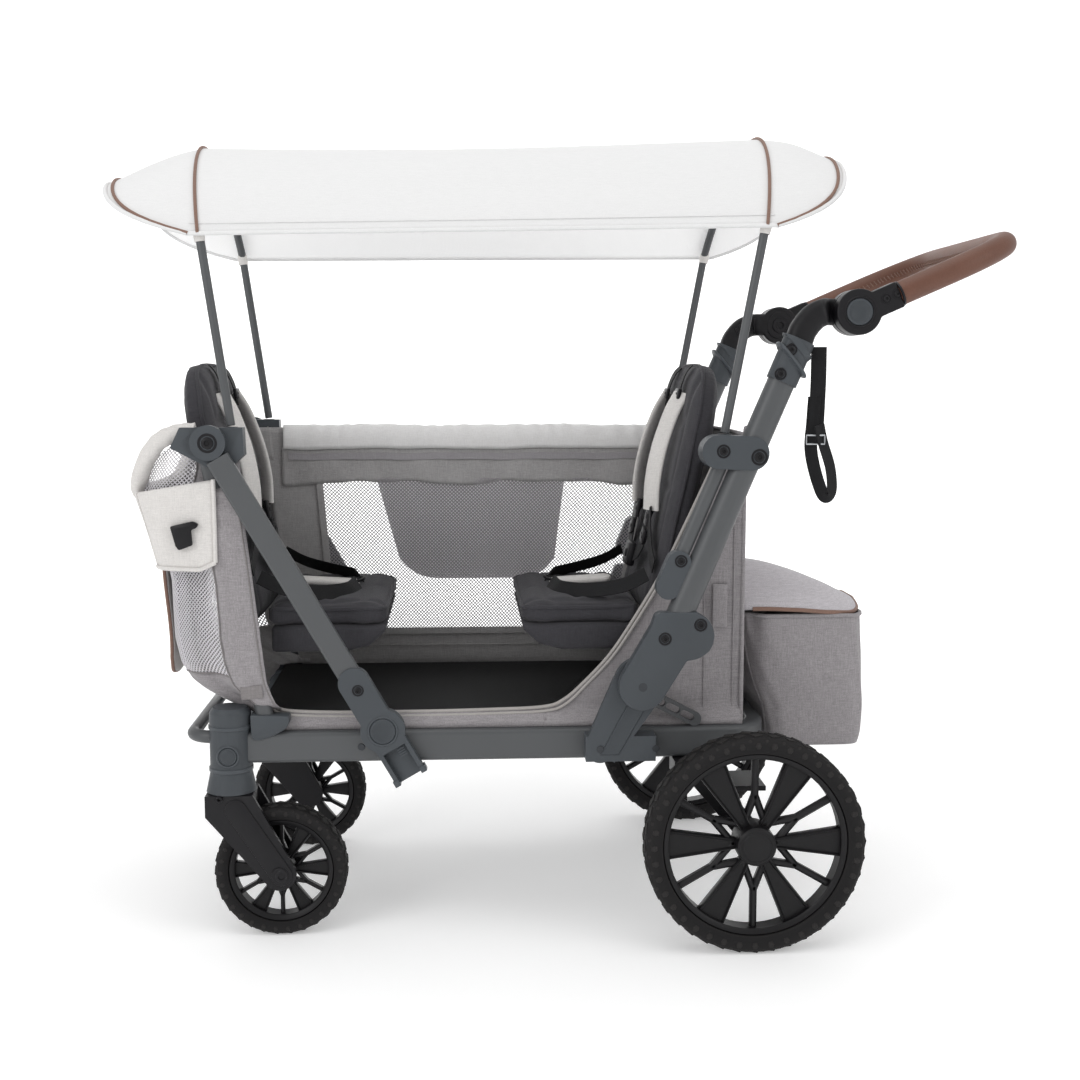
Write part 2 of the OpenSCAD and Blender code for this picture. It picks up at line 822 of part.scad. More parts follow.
module strut_hubs() {
    color("slategray") both_sides() difference() {
        side_plate(strut_in_y, strut_out_y) {
            link2d(strut_pivot, on_strut(hub_sleeve_l, 0), hub_sleeve_w);
            translate(strut_pivot) circle(hub_r);
            polygon([on_strut(0, -catch_w / 2), on_strut(0, catch_w / 2), on_strut(-catch_s1, catch_w / 2),
                on_strut(-catch_s1, -catch_w / 2)]);
        }
        front_strut_solid();
        side_plate(strut_in_y - cut, strut_out_y + cut)
            polygon([on_strut(-catch_s0 - catch_wall, catch_wall - catch_w / 2),
                on_strut(-catch_s0 - catch_wall, catch_w / 2 - catch_wall),
                on_strut(-catch_s1 - cut, catch_w / 2 - catch_wall),
                on_strut(-catch_s1 - cut, catch_wall - catch_w / 2)]);
        pin_y(strut_pivot, hub_pin_r + running_gap, strut_in_y - cut, hub_pin_end_y + cut / 2);
        pin_y(strut_pivot, strut_button_r + button_gap, strut_button_floor_y, strut_out_y + cut);
    }
}

module strut_button(right) {
    y0 = strut_button_floor_y + strut_button_travel + button_gap;
    color("gray") on_side(right) pin_y(strut_pivot, strut_button_r, y0, strut_out_y + button_proud);
}

module front_top_brackets() {
    color("slategray") both_sides() difference() {
        union() {
            side_plate(bracket_in_y, strut_in_y)
                polygon(share_points(strut_top, top_disc_r, bracket_shares));
            side_plate(strut_in_y, strut_out_y - top_disc_inset) translate(strut_top) circle(top_disc_r);
            side_bar(front_pole_foot - [0, top_disc_r], front_pole_foot, front_pole_y) circle(pole_socket_r);
        }
        front_upright_solid();
        front_strut_solid();
    }
}

module front_upright_solid() {
    a = [upright_foot_x, upright_foot_z];
    side_bar(a, strut_top - [top_disc_r / 4, top_disc_r / 2], upright_y) stadium(upright_w, upright_t);
}

module front_uprights() {
    color("dimgray") both_sides() front_upright_solid();
}

module front_top_bar() {
    color("dimgray") translate([top_bar_at[0], 0, top_bar_at[1]]) rotate([90, 0, 0])
        cylinder(h = 2 * bracket_in_y, d = top_bar_d, center = true);
}

// Push frame

module push_tube_solid() {
    side_bar(on_push(push_foot_s, push_offset), on_push(push_top_s, push_offset), push_y)
        stadium(push_tube_w, push_tube_t);
}

module push_tubes() {
    color("dimgray") both_sides() push_tube_solid();
}

module slim_tube_solid() {
    side_bar(on_push(slim_s0, slim_offset), on_push(slim_s1, slim_offset), push_y) stadium(slim_w, slim_t);
}

module slim_tubes() {
    color("dimgray") both_sides() slim_tube_solid();
}

// Outline of the bracket that joins a push tube to its fold pivot
module lower_bracket2d() {
    at = on_push(lower_s, push_offset);
    link2d(fold_pivot, at, 2 * lug_r);
    polygon(share_points(at, lower_unit, lower_shares));
}

module rear_lower_brackets() {
    color("slategray") both_sides() difference() {
        side_plate(lug_in_y, wrap_out_y) lower_bracket2d();
        push_tube_solid();
        pin_y(fold_pivot, pivot_pin_r + running_gap, lug_in_y - cut, wrap_out_y + cut);
    }
}

module link_sliders() {
    color("slategray") both_sides() difference() {
        side_plate(push_y - slim_t / 2 - layer_gap, push_y + slim_t / 2 + layer_gap)
            link2d(on_push(slim_s0, slim_offset), on_push(slim_s0 + slider_l - slider_w, slim_offset),
                slider_w);
        slim_tube_solid();
        push_tube_solid();
    }
}

module rear_top_brackets() {
    a = on_push(top_bracket_s, push_offset);
    b = a - [top_bracket_l - top_bracket_h, -layer_gap];
    pole_foot = on_push(rear_pole_s, rear_pole_offset);
    color("slategray") both_sides() difference() {
        union() {
            side_plate(wrap_in_y, wrap_out_y) link2d(a, b, top_bracket_h);
            side_bar(pole_foot - [0, top_bracket_h / 2], pole_foot, rear_pole_y) circle(pole_socket_r);
        }
        push_tube_solid();
        slim_tube_solid();
    }
}

module tube_collars() {
    flange_s = push_top_s - collar_flange_h;
    color("slategray") both_sides() difference() {
        union() {
            side_bar(on_push(collar_s0, push_offset), on_push(push_top_s + cut, push_offset), push_y)
                stadium(push_tube_w + 2 * collar_t, push_tube_t + 2 * collar_t);
            translate([on_push(flange_s, push_offset)[0], -push_y, on_push(flange_s, push_offset)[1]])
                rotate([0, push_lean + collar_tilt, 0])
                    linear_extrude(collar_flange_h, center = true)
                        stadium(push_tube_w + 2 * collar_flange, push_tube_t + 2 * collar_t + 2 * collar_lip);
        }
        push_tube_solid();
        side_bar(on_push(push_top_s, push_offset), on_push(push_top_s + push_tube_w, push_offset), push_y)
            square(2 * push_tube_w, center = true);
    }
}

module elbow_solid() {
    side_plate(push_in_y, push_out_y)
        link2d(push_top, push_top + (elbow_l - 2 * hinge_r) * [cos(elbow_rise), sin(elbow_rise)], push_tube_w);
    side_plate(elbow_in_y, elbow_out_y) link2d(push_top, handle_pivot, elbow_w);
    translate([0, -elbow_in_y, 0]) pin_y(handle_pivot, hinge_r, 0, elbow_out_y - elbow_in_y);
}

module handle_elbows() {
    color("black") both_sides() {
        difference() {
            elbow_solid();
            push_tube_solid();
            side_bar(on_push(collar_s0, push_offset), push_top, push_y)
                square(2 * push_tube_w, center = true);
        }
        pin_y(handle_pivot, hinge_pin_r, elbow_out_y, hinge_pin_end_y);
    }
}

// Webbing loop that hangs from the left elbow
module wrist_strap() {
    along = [cos(elbow_rise), sin(elbow_rise)];
    below = [sin(elbow_rise), -cos(elbow_rise)];
    top = push_top + strap_s * along + (push_tube_w / 2 + strap_t / 2 + seat_gap) * below;
    low = top - [0, strap_l];
    loop_top = low - [0, strap_loop_w / 2 - strap_t];
    loop_low = loop_top + [strap_loop_w / 2, -strap_loop_l];
    color("black") side_plate(push_y - strap_w / 2, push_y + strap_w / 2) difference() {
        union() {
            link2d(top, low, strap_t);
            link2d(loop_top, loop_low, strap_loop_w);
        }
        link2d(loop_top, loop_low, strap_loop_w - 2 * strap_t);
    }
}

// Handle

function on_handle(s) = handle_pivot + s * [cos(handle_rise), sin(handle_rise)];

module handle_arms() {
    color("black") both_sides() difference() {
        side_plate(arm_in_y, arm_out_y) {
            translate(handle_pivot) circle(hinge_r);
            link2d(handle_pivot, on_handle(grip_start - arm_w / 2), arm_w);
            translate(handle_pivot) rotate(handle_rise) translate([0, -arm_w / 2]) square([grip_start, arm_w]);
        }
        pin_y(handle_pivot, hinge_pin_r + running_gap, arm_in_y - cut, hinge_pin_end_y + cut / 2);
        pin_y(handle_pivot, handle_button_r + button_gap, handle_button_floor_y, arm_out_y + cut);
    }
}

module handle_button(right) {
    y0 = handle_button_floor_y + handle_button_travel + button_gap;
    color("dimgray") on_side(right) pin_y(handle_pivot, handle_button_r, y0, arm_out_y + button_proud);
}

module handle_grip() {
    bar = handle_l - grip_d / 2;
    bend = bar - grip_bend_r;
    run = grip_y - grip_bend_r;
    color("saddlebrown") both_sides()
        translate([handle_pivot[0], 0, handle_pivot[1]]) rotate([0, -handle_rise, 0]) {
            translate([grip_start, -grip_y, 0]) rotate([0, 90, 0]) cylinder(h = bend - grip_start, d = grip_d);
            translate([bend, -run, 0]) rotate([0, 0, -90])
                rotate_extrude(angle = 90) translate([grip_bend_r, 0]) circle(d = grip_d);
            translate([bar, -run, 0]) rotate([-90, 0, 0]) cylinder(h = run, d = grip_d);
        }
}

// Canopy

rear_pole_foot = on_push(rear_pole_s, rear_pole_offset);
front_hem = [front_pole_foot[0] + (front_hem_z - front_pole_foot[1]) * tan(front_pole_lean), front_hem_z];
rear_hem = [rear_pole_foot[0] + (rear_hem_z - rear_pole_foot[1]) * tan(rear_pole_lean), rear_hem_z];
bow_in = pole_d / 2 + canopy_t + bow_slack;
// Lift that keeps the edge of a leaning pole's foot clear of its socket
pole_seat = seat_gap + pole_d / 2 * sin(rear_pole_lean);
// Half width and rise of each bow's centre line
front_bow = [front_pole_y, front_bow_rise - bow_in];
rear_bow = [rear_pole_y, rear_bow_rise - bow_in];
function arc_r(half, rise) = (half * half + rise * rise) / (2 * rise);

module canopy_poles() {
    color("dimgray") both_sides() {
        side_bar(front_pole_foot + [0, pole_seat], front_hem, front_pole_y) circle(d = pole_d);
        side_bar(rear_pole_foot + [0, pole_seat], rear_hem, rear_pole_y) circle(d = pole_d);
    }
}

// Round bow that joins a pair of pole tops
module canopy_bow(hem, bow, lean) {
    r = arc_r(bow[0], bow[1]);
    spread = 2 * acos((r - bow[1]) / r);
    translate([hem[0], 0, hem[1]]) rotate([0, lean, 0]) translate([0, 0, bow[1] - r])
        rotate([90, 0, 90]) rotate([0, 0, 90 - spread / 2]) rotate_extrude(angle = spread, $fn = 96)
            translate([r, 0]) circle(d = pole_d);
}

module canopy_bows() {
    color("dimgray") {
        canopy_bow(front_hem, front_bow, front_pole_lean);
        canopy_bow(rear_hem, rear_bow, rear_pole_lean);
    }
}

// Outer arch of the cloth at a bow: t runs from -1 at one hem to 1 at the other
function arch_point(hem, half, rise, lean, t) =
    let (r = arc_r(half, rise), a = t * acos((r - rise) / r), h = r * cos(a) - r + rise)
    [hem[0] + h * tan(lean), r * sin(a), hem[1] + h];
// Rim of a visor: reach and drop are measured at the middle
function rim_point(hem, half, rise, lean, reach, drop, t) =
    let (p = arch_point(hem, half, rise, lean, t), c = cos(90 * t))
    [p[0] + (reach < 0 ? -1 : 1) * visor_hem_reach * (1 - c) + reach * c, p[1],
        p[2] - drop * c * (p[2] - hem[1]) / rise];
function mix(a, b, u) = a + u * (b - a);
function visor_swell(u, t) = visor_bulge * sin(180 * u) * cos(90 * t);
function arch_half(bow) = bow[0] + bow_in;

// Rows of the canopy from the front visor's rim to the rear visor's rim, drawn in by d
function canopy_row(k, d) =
    let (n = canopy_arch_steps, fw = arch_half(front_bow) - d, rw = arch_half(rear_bow) - d,
        fr = front_bow_rise - d, rr = rear_bow_rise - d, last = 2 * visor_steps + canopy_span_steps)
    [for (i = [0 : n]) let (t = 2 * i / n - 1,
            f = arch_point(front_hem, fw, fr, front_pole_lean, t),
            b = arch_point(rear_hem, rw, rr, rear_pole_lean, t))
        k < visor_steps
            ? let (u = 1 - k / visor_steps,
                m = rim_point(front_hem, fw, fr, front_pole_lean, -front_visor_l, front_visor_drop, t))
                mix(f, m, u) + [0, 0, visor_swell(u, t)]
        : k > visor_steps + canopy_span_steps
            ? let (u = 1 - (last - k) / visor_steps,
                m = rim_point(rear_hem, rw, rr, rear_pole_lean, rear_visor_l, rear_visor_drop, t))
                mix(b, m, u) + [0, 0, visor_swell(u, t)]
        : let (u = (k - visor_steps) / canopy_span_steps)
            mix(f, b, u) - [0, 0, canopy_sag * sin(180 * u)]];

// Closed shell between an outer grid and an inner grid of equal rows
module grid_shell(outer, inner) {
    rows = len(outer);
    cols = len(outer[0]);
    n = rows * cols;
    top = [for (r = outer) for (p = r) p];
    low = [for (r = inner) for (p = r) p];
    quads = [for (i = [0 : rows - 2], j = [0 : cols - 2]) [i * cols + j, i * cols + j + 1,
        (i + 1) * cols + j + 1, (i + 1) * cols + j]];
    rim = concat([for (j = [0 : cols - 1]) j], [for (i = [1 : rows - 1]) i * cols + cols - 1],
        [for (j = [cols - 2 : -1 : 0]) (rows - 1) * cols + j], [for (i = [rows - 2 : -1 : 1]) i * cols]);
    m = len(rim);
    polyhedron(concat(top, low), concat(
        [for (q = quads) [q[0], q[2], q[1]]], [for (q = quads) [q[0], q[3], q[2]]],
        [for (q = quads) [q[0] + n, q[1] + n, q[2] + n]], [for (q = quads) [q[0] + n, q[2] + n, q[3] + n]],
        [for (k = [0 : m - 1]) [rim[k], rim[(k + 1) % m], rim[(k + 1) % m] + n]],
        [for (k = [0 : m - 1]) [rim[k], rim[(k + 1) % m] + n, rim[k] + n]]));
}

module canopy_roof() {
    last = 2 * visor_steps + canopy_span_steps;
    color("whitesmoke") grid_shell([for (k = [0 : last]) canopy_row(k, 0)],
        [for (k = [0 : last]) canopy_row(k, canopy_t)]);
}

// Tub

// Front and lower edge of both side walls, from the top at the front to the rear wall's foot
wall_front = [[top_bar_at[0] + bar_notch, tub_top_z], [top_bar_at[0] + bar_notch, top_bar_at[1] - bar_notch],
    [front_top_x + 2 * wall_t, top_bar_at[1] - bar_notch], [front_waist_x + wall_t + seat_gap, front_waist_z],
    [front_low_x + wall_t + seat_gap, front_low_z + wall_t],
    [front_toe_x + wall_t, front_toe_z + wall_t + seat_gap],
    [floor_front_x + seat_gap, front_toe_z + wall_t + seat_gap], [floor_front_x + seat_gap, tub_low_z],
    [rear_wall_x, tub_low_z]];

module window2d(grow) {
    polygon([[window_front_x - grow, window_top_z + grow], [window_rear_x + grow, window_top_z + grow],
        [window_rear_x - window_low_rear + grow, window_low_z - grow],
        [window_front_x + window_low_front - grow, window_low_z - grow]]);
}

module side_wall_right() {
    color("gray") mirror([0, 1, 0]) side_plate(wall_in_y, wall_out_y) difference() {
        polygon(concat(wall_front, [[rear_wall_x, tub_top_z]]));
        window2d(0);
    }
}

module window_net() {
    w = window_rear_x - window_front_x;
    h = window_top_z - window_low_z;
    pitch = [w / net_cols, h / net_rows];
    color("lightgray") mirror([0, 1, 0]) side_plate(wall_in_y - net_t, wall_in_y) difference() {
        window2d(net_overlap);
        intersection() {
            window2d(-net_overlap / 2);
            translate([window_front_x, window_low_z])
                for (i = [0 : net_cols - 1], j = [0 : net_rows - 1])
                    translate([(i + 1 / 2) * pitch[0], (j + 1 / 2) * pitch[1]])
                        square(net_gap_share * pitch, center = true);
        }
    }
}

module side_wall_left() {
    curve = [for (p = opening_curve_shares)
        [opening_rear_x + opening_rear_l * p[0], tub_low_z + sill_h + opening_rear_h * p[1]]];
    last = len(curve) - 1;
    color("gray") side_plate(wall_in_y, wall_out_y) polygon(concat(wall_front,
        [[rear_wall_x, curve[last][1]]], [for (k = [last : -1 : 0]) curve[k]],
        [[opening_rear_x, tub_low_z + sill_h], [opening_front_x, tub_low_z + sill_h],
            [opening_front_x - opening_step_l, tub_low_z + opening_step_h],
            [swivel_x + opening_top_back, tub_top_z]]));
}

module front_wall() {
    half = wall_in_y - seat_gap;
    color("gray") side_plate(-half, half) polygon([[front_top_x, tub_top_z], [front_waist_x, front_waist_z],
        [front_low_x, front_low_z], [front_toe_x, front_toe_z], [floor_front_x, front_toe_z],
        [floor_front_x, front_toe_z + wall_t], [front_toe_x + wall_t, front_toe_z + wall_t],
        [front_low_x + wall_t, front_low_z + wall_t], [front_waist_x + wall_t, front_waist_z],
        [front_top_x + wall_t, tub_top_z]]);
    color("gray") translate([cuff_front_x + cuff_t + seat_gap, -apron_w / 2, cuff_low_z + apron_lap - apron_h])
        cube([apron_t, apron_w, apron_h]);
}

module rear_wall() {
    color("gray") translate([rear_wall_x - wall_t, -wall_in_y + seat_gap, tub_low_z])
        cube([wall_t, 2 * (wall_in_y - seat_gap), tub_top_z - tub_low_z]);
}

// Padded cuff that is turned down round the tub's front
module front_cuff() {
    l = swivel_x - cuff_back_gap - cuff_front_x;
    color("gainsboro") translate([cuff_front_x, 0, cuff_low_z]) linear_extrude(cuff_h) difference() {
        translate([l, 0]) round_rect(2 * l, 2 * cuff_half_w, cuff_corner_r);
        translate([l, 0]) round_rect(2 * l - 2 * cuff_t, 2 * cuff_half_w - 2 * cuff_t, cuff_corner_r - cuff_t);
        translate([l, -2 * cuff_half_w]) square([2 * l, 4 * cuff_half_w]);
    }
}

// Seats

// Cushion with a crowned face, sides drawn in between its corners and sewn channels across it
module cushion(l, w, t) {
    face = [for (i = [0 : seat_cols]) [for (j = [0 : seat_rows])
        let (u = 2 * i / seat_cols - 1, v = 2 * j / seat_rows - 1,
            swell = (1 - pow(u, 4)) * (1 - pow(v, 4)),
            sewn = pow(abs(sin(90 * (seat_channels + 1) * (u + 1))), 1 / 2))
        [u * (l / 2 - seat_draw * (1 - v * v)), v * (w / 2 - seat_draw * (1 - u * u)),
            t + swell * (seat_crown - seat_channel + seat_channel * sewn)]]];
    base = [for (r = face) [for (p = r) [p[0], p[1], 0]]];
    mirror([0, 1, 0]) grid_shell(face, base);
}

module seat_base(hinge_x, side) {
    color("black") translate([hinge_x + side * (seat_base_l / 2 + seat_gap), 0, seat_base_z])
        cushion(seat_base_l, seat_w, seat_base_t);
}

// Frame of a seat back: X up along its face from the hinge, Z out of its face
module at_back(hinge_x, side) {
    translate([hinge_x, 0, seat_base_z]) mirror([side > 0 ? 0 : 1, 0, 0])
        rotate([0, -90 - back_tilt, 0]) mirror([0, 0, 1]) children();
}

module seat_back(hinge_x, side) {
    color("black") at_back(hinge_x, side) translate([seat_back_l / 2, 0, -seat_back_t - seat_crown])
        cushion(seat_back_l, seat_w, seat_back_t);
}

module harness(hinge_x, side) {
    color("lightgray") at_back(hinge_x, side) {
        for (s = [-1, 1]) {
            translate([pad_rise + pad_l / 2, s * pad_spread, seat_gap]) linear_extrude(pad_t)
                round_rect(pad_l, pad_w, pad_w / 4);
            translate([pad_rise + pad_l, s * pad_spread - strap_web_w / 2, seat_gap])
                cube([strap_web_l, strap_web_w, strap_web_t]);
        }
        translate([pad_rise - buckle_l, -pad_spread - pad_w / 2, seat_gap])
            cube([buckle_l, 2 * pad_spread + pad_w, buckle_t]);
    }
}

// Bag

module bag_outline(l, w, r) {
    difference() {
        round_rect(2 * l, w, r);
        translate([-2 * l, 0]) square([4 * l, 2 * w], center = true);
    }
}

// Bag body drawn in by d: its front leans back below to clear the rear cross tube
module bag_body(d, top_z) {
    tube_x = rail_rear_x + rail_w / 2 + seat_gap;
    half = bag_w / 2 - d;
    intersection() {
        translate([rear_wall_x, 0, bag_z + d]) linear_extrude(top_z - bag_z - d)
            bag_outline(bag_l + seat_gap - d, 2 * half, bag_corner_r - d);
        side_plate(-half, half) polygon([[rear_wall_x + seat_gap + d, top_z], [rear_wall_x + bag_l, top_z],
            [rear_wall_x + bag_l, bag_z + d], [tube_x + bag_back_lean + d, bag_z + d],
            [tube_x + d, rail_top_z + bag_back_lean + d]]);
    }
}

module rear_bag() {
    top_z = bag_z + bag_h;
    color("darkgray") difference() {
        bag_body(0, top_z);
        bag_body(bag_wall, top_z + cut);
    }
}

// Flap with a round bead along the edge that it turns on
module bag_lid() {
    l = bag_l + lid_overhang;
    x = rear_wall_x + seat_gap + lid_bead_d / 2;
    color("darkgray") translate([x, 0, bag_z + bag_h + lid_rise]) {
        rotate([90, 0, 0]) cylinder(h = bag_w, d = lid_bead_d, center = true);
        rotate([0, asin(lid_drop / l), 0]) translate([0, 0, -lid_t / 2])
            linear_extrude(lid_t) bag_outline(l, bag_w + lid_overhang, lid_corner_r);
    }
}

base_frame();
bumper_bar();
caster_heads();
upright_cups();
fold_links();
rear_braces();
pivot_pins();
floor_board();
rear_axle();
axle_hangers();
frame_screws();
side_wall_left();
side_wall_right();
window_net();
front_wall();
rear_wall();
front_cuff();
rear_bag();
bag_lid();
seat_back(front_hinge_x, 1);  // front_seat_back
seat_base(front_hinge_x, 1);  // front_seat_base
seat_back(rear_hinge_x, -1);  // rear_seat_back
seat_base(rear_hinge_x, -1);  // rear_seat_base
harness(front_hinge_x, 1);  // front_harness
harness(rear_hinge_x, -1);  // rear_harness
push_tubes();
slim_tubes();
rear_top_brackets();
rear_lower_brackets();
tube_collars();
link_sliders();
handle_elbows();
wrist_strap();
handle_arms();
handle_grip();
handle_button(false);  // handle_button_left
handle_button(true);  // handle_button_right
front_struts();
strut_hubs();
front_top_brackets();
front_uprights();
front_top_bar();
strut_button(false);  // strut_button_left
strut_button(true);  // strut_button_right
canopy_poles();
canopy_bows();
canopy_roof();
rear_tyre(false);  // rear_tyre_left
rear_tyre(true);  // rear_tyre_right
rear_rim(false);  // rear_rim_left
rear_rim(true);  // rear_rim_right
caster_fork(false);  // caster_fork_left
caster_fork(true);  // caster_fork_right
front_tyre(false);  // front_tyre_left
front_tyre(true);  // front_tyre_right
front_rim(false);  // front_rim_left
front_rim(true);  // front_rim_right
caster_button(false);  // caster_button_left
caster_button(true);  // caster_button_right
brake_pedal();
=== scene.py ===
"""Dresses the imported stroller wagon: finishes for its frame, and modelled wheels, cloth, seats and trim."""

import json
import logging
from dataclasses import dataclass, field
from enum import Enum
from math import acos, atan2, ceil, copysign, cos, exp, pi, radians, sin, sqrt, tan
from typing import Callable, Iterable, Sequence

import bmesh
import bpy
from mathutils import Matrix, Vector
from mathutils.bvhtree import BVHTree


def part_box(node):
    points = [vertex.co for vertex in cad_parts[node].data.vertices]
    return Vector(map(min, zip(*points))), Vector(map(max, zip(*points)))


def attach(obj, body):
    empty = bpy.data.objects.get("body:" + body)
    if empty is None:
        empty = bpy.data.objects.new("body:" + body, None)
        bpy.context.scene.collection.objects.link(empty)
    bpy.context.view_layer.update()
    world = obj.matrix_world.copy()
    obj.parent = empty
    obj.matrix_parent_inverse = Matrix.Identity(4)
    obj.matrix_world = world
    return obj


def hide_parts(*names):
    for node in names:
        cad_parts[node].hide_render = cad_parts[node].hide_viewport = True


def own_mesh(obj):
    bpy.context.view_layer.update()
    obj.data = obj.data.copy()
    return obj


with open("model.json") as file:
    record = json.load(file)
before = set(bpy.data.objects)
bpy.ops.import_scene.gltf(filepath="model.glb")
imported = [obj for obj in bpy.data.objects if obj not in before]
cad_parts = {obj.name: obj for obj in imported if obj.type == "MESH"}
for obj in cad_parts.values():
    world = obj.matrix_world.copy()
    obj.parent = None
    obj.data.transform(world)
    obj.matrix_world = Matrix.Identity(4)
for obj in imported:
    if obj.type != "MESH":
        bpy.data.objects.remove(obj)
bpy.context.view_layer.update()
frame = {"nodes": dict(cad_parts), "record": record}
LOG = logging.getLogger("wagon")
CHASSIS = "chassis"
# Angles in degrees above which an edge of moulded trim or of cloth stays sharp
CRISP = 30.0
SOFT = 80.0
# Angle in radians above which an edge is bevelled
BEVEL_ANGLE = 0.6
# Turn of the weave's sine in radians per metre
THREADS = 2600.0
# Thickness of the webbing
WEB = 0.0018

Pair = tuple[float, float]
Triple = tuple[float, float, float]
Colour = tuple[float, float, float, float]
Piece = bpy.types.Object
Line = tuple[Pair, ...]


class Side(Enum):
    """The wagon's two sides; the left one faces the camera."""

    LEFT = -1
    RIGHT = 1

    @property
    def word(self) -> str:
        """The side's name as the frame's nodes spell it."""
        return self.name.lower()

    def face(self, y: float, x: float = 0.0, z: float = 0.0) -> Matrix:
        """Turns a drawing so that its X and Y lie along the wagon and upward and its height points outward.

        Args:
            y: Distance of the drawing's plane from the wagon's middle.
            x: Place of the drawing's origin along the wagon.
            z: Height of the drawing's origin.

        Returns:
            The matrix that places the drawing.
        """
        s = self.value
        return Matrix(((1, 0, 0, x), (0, 0, s, s * y), (0, 1, 0, z), (0, 0, 0, 1)))


class Hold(Enum):
    """How a sheet of cloth is held."""

    STRETCHED = "stretched"
    HUNG = "hung"
    FOLDED = "folded"


class Sock:
    """An output socket that adds Math nodes when it is used in an expression."""

    def __init__(self, shader: "Shader", socket: bpy.types.NodeSocket) -> None:
        """Keeps the socket and the shader that it belongs to."""
        self.shader = shader
        self.socket = socket

    def _math(self, operation: str, a: "Sock | float", b: "Sock | float" = 0.0,
              clamp: bool = False) -> "Sock":
        """Adds one Math node.

        Args:
            operation: The node's operation.
            a: First value.
            b: Second value.
            clamp: Whether the result stays between 0 and 1.

        Returns:
            The node's output.
        """
        return self.shader.node("ShaderNodeMath", {"operation": operation, "use_clamp": clamp}, {0: a, 1: b})

    def __add__(self, other: "Sock | float") -> "Sock":
        """Sum."""
        return self._math("ADD", self, other)

    __radd__ = __add__

    def __sub__(self, other: "Sock | float") -> "Sock":
        """Difference."""
        return self._math("SUBTRACT", self, other)

    def __rsub__(self, other: float) -> "Sock":
        """Difference from a number."""
        return self._math("SUBTRACT", other, self)

    def __mul__(self, other: "Sock | float") -> "Sock":
        """Product."""
        return self._math("MULTIPLY", self, other)

    __rmul__ = __mul__

    def clamped(self) -> "Sock":
        """The value kept between 0 and 1."""
        return self._math("ADD", self, 0.0, True)

    def sine(self) -> "Sock":
        """The sine of the value."""
        return self._math("SINE", self)


class Shader:
    """A node material round one Principled surface."""

    def __init__(self, name: str) -> None:
        """Makes the material and its Object coordinates.

        Args:
            name: Name of the material.
        """
        self.material = bpy.data.materials.new(name)
        self.material.use_nodes = True
        self.tree = self.material.node_tree
        self.surface = self.tree.nodes["Principled BSDF"]
        self.coords = self.node("ShaderNodeTexCoord", output="Object")

    def node(self, kind: str, settings: dict | None = None, sockets: dict | None = None,
             output: int | str = 0) -> Sock:
        """Adds a node.

        Args:
            kind: The node's type.
            settings: Its properties, set first.
            sockets: Values or links for its inputs, by name or index.
            output: The output to hand back.

        Returns:
            The chosen output.
        """
        made = self.tree.nodes.new(kind)
        for key, value in (settings or {}).items():
            setattr(made, key, value)
        for key, value in (sockets or {}).items():
            self._feed(made.inputs[key], value)
        return Sock(self, made.outputs[output])

    def _feed(self, target: bpy.types.NodeSocket, value: "Sock | float | Sequence[float]") -> None:
        """Links or sets one input."""
        if isinstance(value, Sock):
            self.tree.links.new(value.socket, target)
        else:
            target.default_value = value

    def set(self, **values: "Sock | float | Colour") -> None:
        """Sets inputs of the surface; an underscore stands for a space."""
        for key, value in values.items():
            self._feed(self.surface.inputs[key.replace("_", " ")], value)

    def noise(self, scale: float, stretch: Triple = (1.0, 1.0, 1.0), detail: float = 2.0) -> Sock:
        """Noise on Object coordinates.

        Args:
            scale: Grains in a metre.
            stretch: Factor on each axis.
            detail: Octaves.

        Returns:
            The noise, about 0.5.
        """
        at = self.node("ShaderNodeVectorMath", {"operation": "MULTIPLY"}, {0: self.coords, 1: stretch})
        return self.node("ShaderNodeTexNoise", None, {"Vector": at, "Scale": scale, "Detail": detail})

    def mix(self, a: "Sock | Colour", b: "Sock | Colour", factor: "Sock | float") -> Sock:
        """Mixes two colours.

        Args:
            a: Colour at factor 0.
            b: Colour at factor 1.
            factor: Share of b.

        Returns:
            The mixed colour.
        """
        return self.node("ShaderNodeMix", {"data_type": "RGBA"}, {0: factor, 6: a, 7: b}, 2)

    def bump(self, height: Sock, distance: float, strength: float = 1.0) -> None:
        """Feeds a relief to the surface's normal."""
        normal = self.node("ShaderNodeBump", None,
                           {"Height": height, "Distance": distance, "Strength": strength})
        self.set(Normal=normal)

    def edges(self) -> Sock:
        """Share of the surface that is an outer edge."""
        sharp = self.node("ShaderNodeNewGeometry", output="Pointiness")
        return ((sharp - 0.52) * 14.0).clamped()


def tint(code: str, gain: float = 1.0) -> Colour:
    """Linear colour from a six-digit code.

    Args:
        code: The colour as red, green and blue in base 16.
        gain: Factor on its brightness.

    Returns:
        The colour with alpha.
    """
    parts = [int(code[k:k + 2], 16) / 255.0 for k in (0, 2, 4)]
    line = [p / 12.92 if p <= 0.04045 else ((p + 0.055) / 1.055) ** 2.4 for p in parts]
    return (*(min(1.0, c * gain) for c in line), 1.0)


